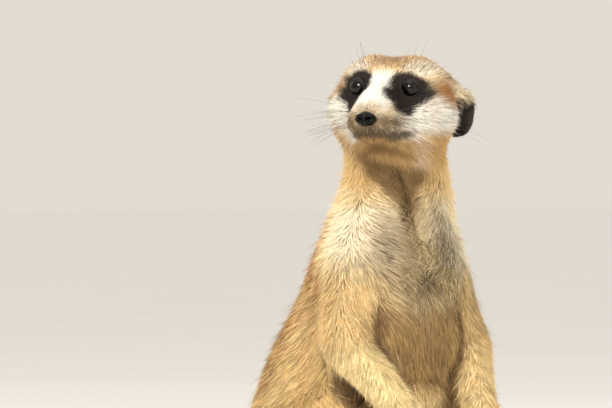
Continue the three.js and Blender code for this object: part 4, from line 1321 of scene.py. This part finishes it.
def make_claws(paw, material):
    """Curved claws at the ends of both paws' digits."""
    length, radius = (11, 1.15) if paw == "hand" else (8, 1.25)
    curl = length * 1.25
    t = np.linspace(-0.2, 1, 12)
    bend = t[:, None] * length / curl
    size = radius * (1 - 0.86 * np.clip(t, 0, 1) ** 1.25)
    shapes = []
    for side in SIDES:
        (axes, origin), digits = paw_parts(side, paw)
        for start, end in digits:
            way = unit(np.subtract(end, start))
            local = end + way * (curl * np.sin(bend) - 0.6)
            local = local + (0, 1, 0) * (curl - curl * np.cos(bend))
            path = (local @ axes + origin) * MM
            path[:, 2] = np.maximum(path[:, 2], 1.0 * MM)
            shapes.append(tapered_tube(path, size * MM, 8))
    add_piece(f"claws_{paw}", joined(shapes), material, "ear_skin")


WHISKERS = [
    # rows, columns, start, step back, step down, direction, length
    (4, 5, (7.6, 43, -12.5), (0.9, -3.2, 0.1), (0.4, 0.6, -2.3), (0.95, -0.12, 0.05), (22, 33)),
    (1, 3, (9, 20, 11), (2.2, -0.8, 0), (0, 0, 0), (0.25, 0.1, 1.0), (12, 20)),
    (1, 3, (25, 4, -12), (1, -2, -2), (0, 0, 0), (0.9, -0.2, -0.35), (14, 22)),
]


def make_whiskers(skin_tree, material):
    """Whiskers on the muzzle, over the eyes and on the cheeks."""
    rng = np.random.default_rng(71)
    t = np.linspace(0, 1, 9)[:, None]
    shapes = []
    for rows, columns, start, back, down, direction, reach in WHISKERS:
        for sign in SIDES.values():
            for r, c in np.ndindex(rows, columns):
                local = np.add(start, np.multiply(back, c) + np.multiply(down, r)) * (sign, 1, 1)
                place, normal, _, _ = skin_tree.find_nearest(tuple(from_head(local)))
                way = np.array(direction) * (sign, 1, 1) + rng.normal(0, 0.16, 3)
                way = unit(way + (0, -0.1 * c, 0.2 - 0.14 * r)) @ HEAD_AXES
                long = rng.uniform(*reach) * MM
                path = np.array(place) - np.array(normal) * 0.4 * MM + way * t * long
                path[:, 2:] -= t ** 2 * long * 0.12
                shapes.append(tapered_tube(path, (0.075 - 0.05 * t[:, 0]) * MM, 3))
    add_piece("whiskers", joined(shapes), material, "ear_skin")


# ---- Build ----

HEAD_LINE = [from_head(p) / MM for p in ((0, -30, -4), (0, 10, -4), (0, 56, -16))]
FACE_EDGE = 4  # how far ahead in the head's frame the face's coat starts
FRONT_EDGE = 6  # how far behind the trunk's middle the front's coat ends
THIN = 1.0

coat = coat_material("coat_hair")
shaggy_coat = coat_material("shaggy_hair", 0.45, 0.3, 0.26, 0.82)
arm_coat = coat_material("arm_hair", 0.6, 0.45, 0.5, 0.9)
face_coat = coat_material("face_hair", 0.8, 0.52, 0.8)
bare_dark = hide_material("bare_dark_skin", (24, 20, 19), 0.55, 1100, 0.5, 0.18)
nose_hide = hide_material("nose_hide", (8, 7, 7), 0.3, 1100, 0.4, 0.09)
ear_hide = hide_material("ear_hide", (38, 31, 27), 0.6, 700, 0.5, 0.3)
horn = hide_material("claw_horn", (72, 56, 42), 0.35, 400, 0.2)
whisker_hair = hide_material("whisker_hair", (30, 24, 20), 0.5, 300, 0.1)
eye_wet = eye_material()

skin_mesh, skin = make_skin()
set_attribute(skin_mesh, "coat", markings(skin["verts"], skin["weights"]))
dress(add_object("skin", skin_mesh, skin_material()), "coat", *FLESH_NODES)
skin_tree = tree_of(skin["verts"], skin["tris"])

ears = {}
for eye_side in SIDES:
    make_eye(eye_side, eye_wet)
    make_lids(eye_side, bare_dark)
    ears[eye_side] = make_ear(eye_side, ear_hide)
make_nose(nose_hide)
for paw_name in PAWS:
    make_claws(paw_name, horn)
make_whiskers(skin_tree, whisker_hair)

head_parts = [(skin["verts"], skin["tris"])] + [read_mesh(ear.data)[::2] for ear in ears.values()]
head_tree = tree_of(*joined(head_parts))

share = shares(skin["weights"])
place = skin["verts"] / MM
head_local = in_head(skin["verts"])
off_floor = fade(1.5, 4, place[:, 2])
in_front = place[:, 1] < trunk_middle(place[:, 2]) + FRONT_EDGE
is_face = head_local[:, 1] > FACE_EDGE
hairy = fade(0.95, 1.1, norm((head_local - NOSE_PLACE) / (5.6, 5, 4.4)))
for eye in EYES.values():
    hairy *= fade(4.6, 5.6, norm(skin["verts"] - eye) / MM)
arms = share["upper_arm"] + share["forearm"] + share["hand"]
legs = share["thigh"] + share["shank"] + share["foot"]
tail = share["tail_base"] + share["tail_middle"]


def coat_piece(name, chance, count, line, material=coat, slot="coat", tree=skin_tree, **options):
    grow(name, skin, tree, chance, int(count * THIN), line, material, slot, **options)


coat_piece("coat_face", share["head"] * hairy * is_face, 48000, HEAD_LINE, face_coat, "face_coat",
           tree=head_tree, seed=11, width=0.2, wander=0.2, lock=0.2, rise=0.9)
coat_piece("coat_crown", share["head"] * hairy * ~is_face, 24000, HEAD_LINE, face_coat,
           "face_coat", tree=head_tree, seed=12, width=0.24, length=1.15, lock=0.25)
for ear_side, ear_piece in ears.items():
    grow_ear_coat(ear_side, ear_piece, face_coat, HEAD_LINE)
coat_piece("coat_neck", share["neck"], 34000, TRUNK_LINE, seed=13)
coat_piece("coat_front", share["trunk"] * in_front * off_floor, 49000, TRUNK_LINE, seed=14)
coat_piece("coat_back", share["trunk"] * ~in_front * off_floor, 49000, TRUNK_LINE, shaggy_coat,
           seed=15, width=0.32, lock=0.8, lock_size=4)
for arm_side, sign in SIDES.items():
    coat_piece(f"coat_arm_{arm_side}", arms * (np.sign(place[:, 0]) == sign), 29000,
               [LIMBS[arm_side][joint] for joint in ARM_JOINTS], arm_coat,
               seed=16 + sign, width=0.25, lock=0.7, lock_size=5)
coat_piece("coat_legs", legs * off_floor, 48000, LEG_LINE, arm_coat,
           seed=19, lock=0.8, lock_size=5)
coat_piece("coat_tail", tail * off_floor, 17000, TAIL_LINE, seed=20)
coat_piece("coat_tail_tip", share["tail_tip"] * off_floor, 7000, TAIL_LINE,
           seed=21, slot="tail_tip_coat")

# ---- Floor, light and camera ----

AIM = Vector((-22.6, 13.0, 164.7)) * MM
CAMERA_AZIMUTH = radians(-30)
CAMERA_DISTANCE = 3.305
LENS, SENSOR_WIDTH = 400, 36
FLOOR_REACH = 150.0
AMBIENT = 0.76
AMBIENT_COLOUR = (1.0, 0.94, 0.84, 1)
LIT_PLACE = Vector((0, -0.03, 0.14))
LIGHTS = {
    # place, size, power, colour
    "key": ((-1.25, -1.2, 1.1), 0.64, 45, (1.0, 0.95, 0.86)),
    "fill": ((0.5, -1.7, 0.8), 2.0, 11, (1.0, 0.96, 0.9)),
    "rim": ((0.6, 1.1, 1.0), 0.8, 7, (1.0, 0.95, 0.86)),
    "top": ((-0.15, -0.1, 1.9), 1.4, 16, (1.0, 0.96, 0.9)),
}


def aim_at(obj, target):
    obj.rotation_euler = (target - obj.location).to_track_quat("-Z", "Y").to_euler()


floor_corners = [(-1, -1, 0), (1, -1, 0), (1, 1, 0), (-1, 1, 0)]
floor_mesh = mesh_from("floor", np.multiply(floor_corners, FLOOR_REACH), [(0, 1, 2, 3)], False)
floor = add_object("floor", floor_mesh, floor_material())

world = bpy.data.worlds.new("studio")
world.use_nodes = True
background = world.node_tree.nodes["Background"]
background.inputs["Color"].default_value = AMBIENT_COLOUR
background.inputs["Strength"].default_value = AMBIENT
bpy.context.scene.world = world
bpy.context.scene.view_settings.view_transform = "Standard"
for light_name, (light_place, size, power, colour) in LIGHTS.items():
    lamp = bpy.data.lights.new(light_name, "AREA")
    lamp.size, lamp.energy, lamp.color = size, power, colour
    light = show(bpy.data.objects.new(light_name, lamp))
    light.location = light_place
    aim_at(light, LIT_PLACE)

camera_data = bpy.data.cameras.new("camera")
camera_data.lens, camera_data.sensor_width = LENS, SENSOR_WIDTH
camera = show(bpy.data.objects.new("camera", camera_data))
camera.location = AIM + Vector((sin(CAMERA_AZIMUTH), -cos(CAMERA_AZIMUTH), 0)) * CAMERA_DISTANCE
aim_at(camera, AIM)
bpy.context.scene.camera = camera
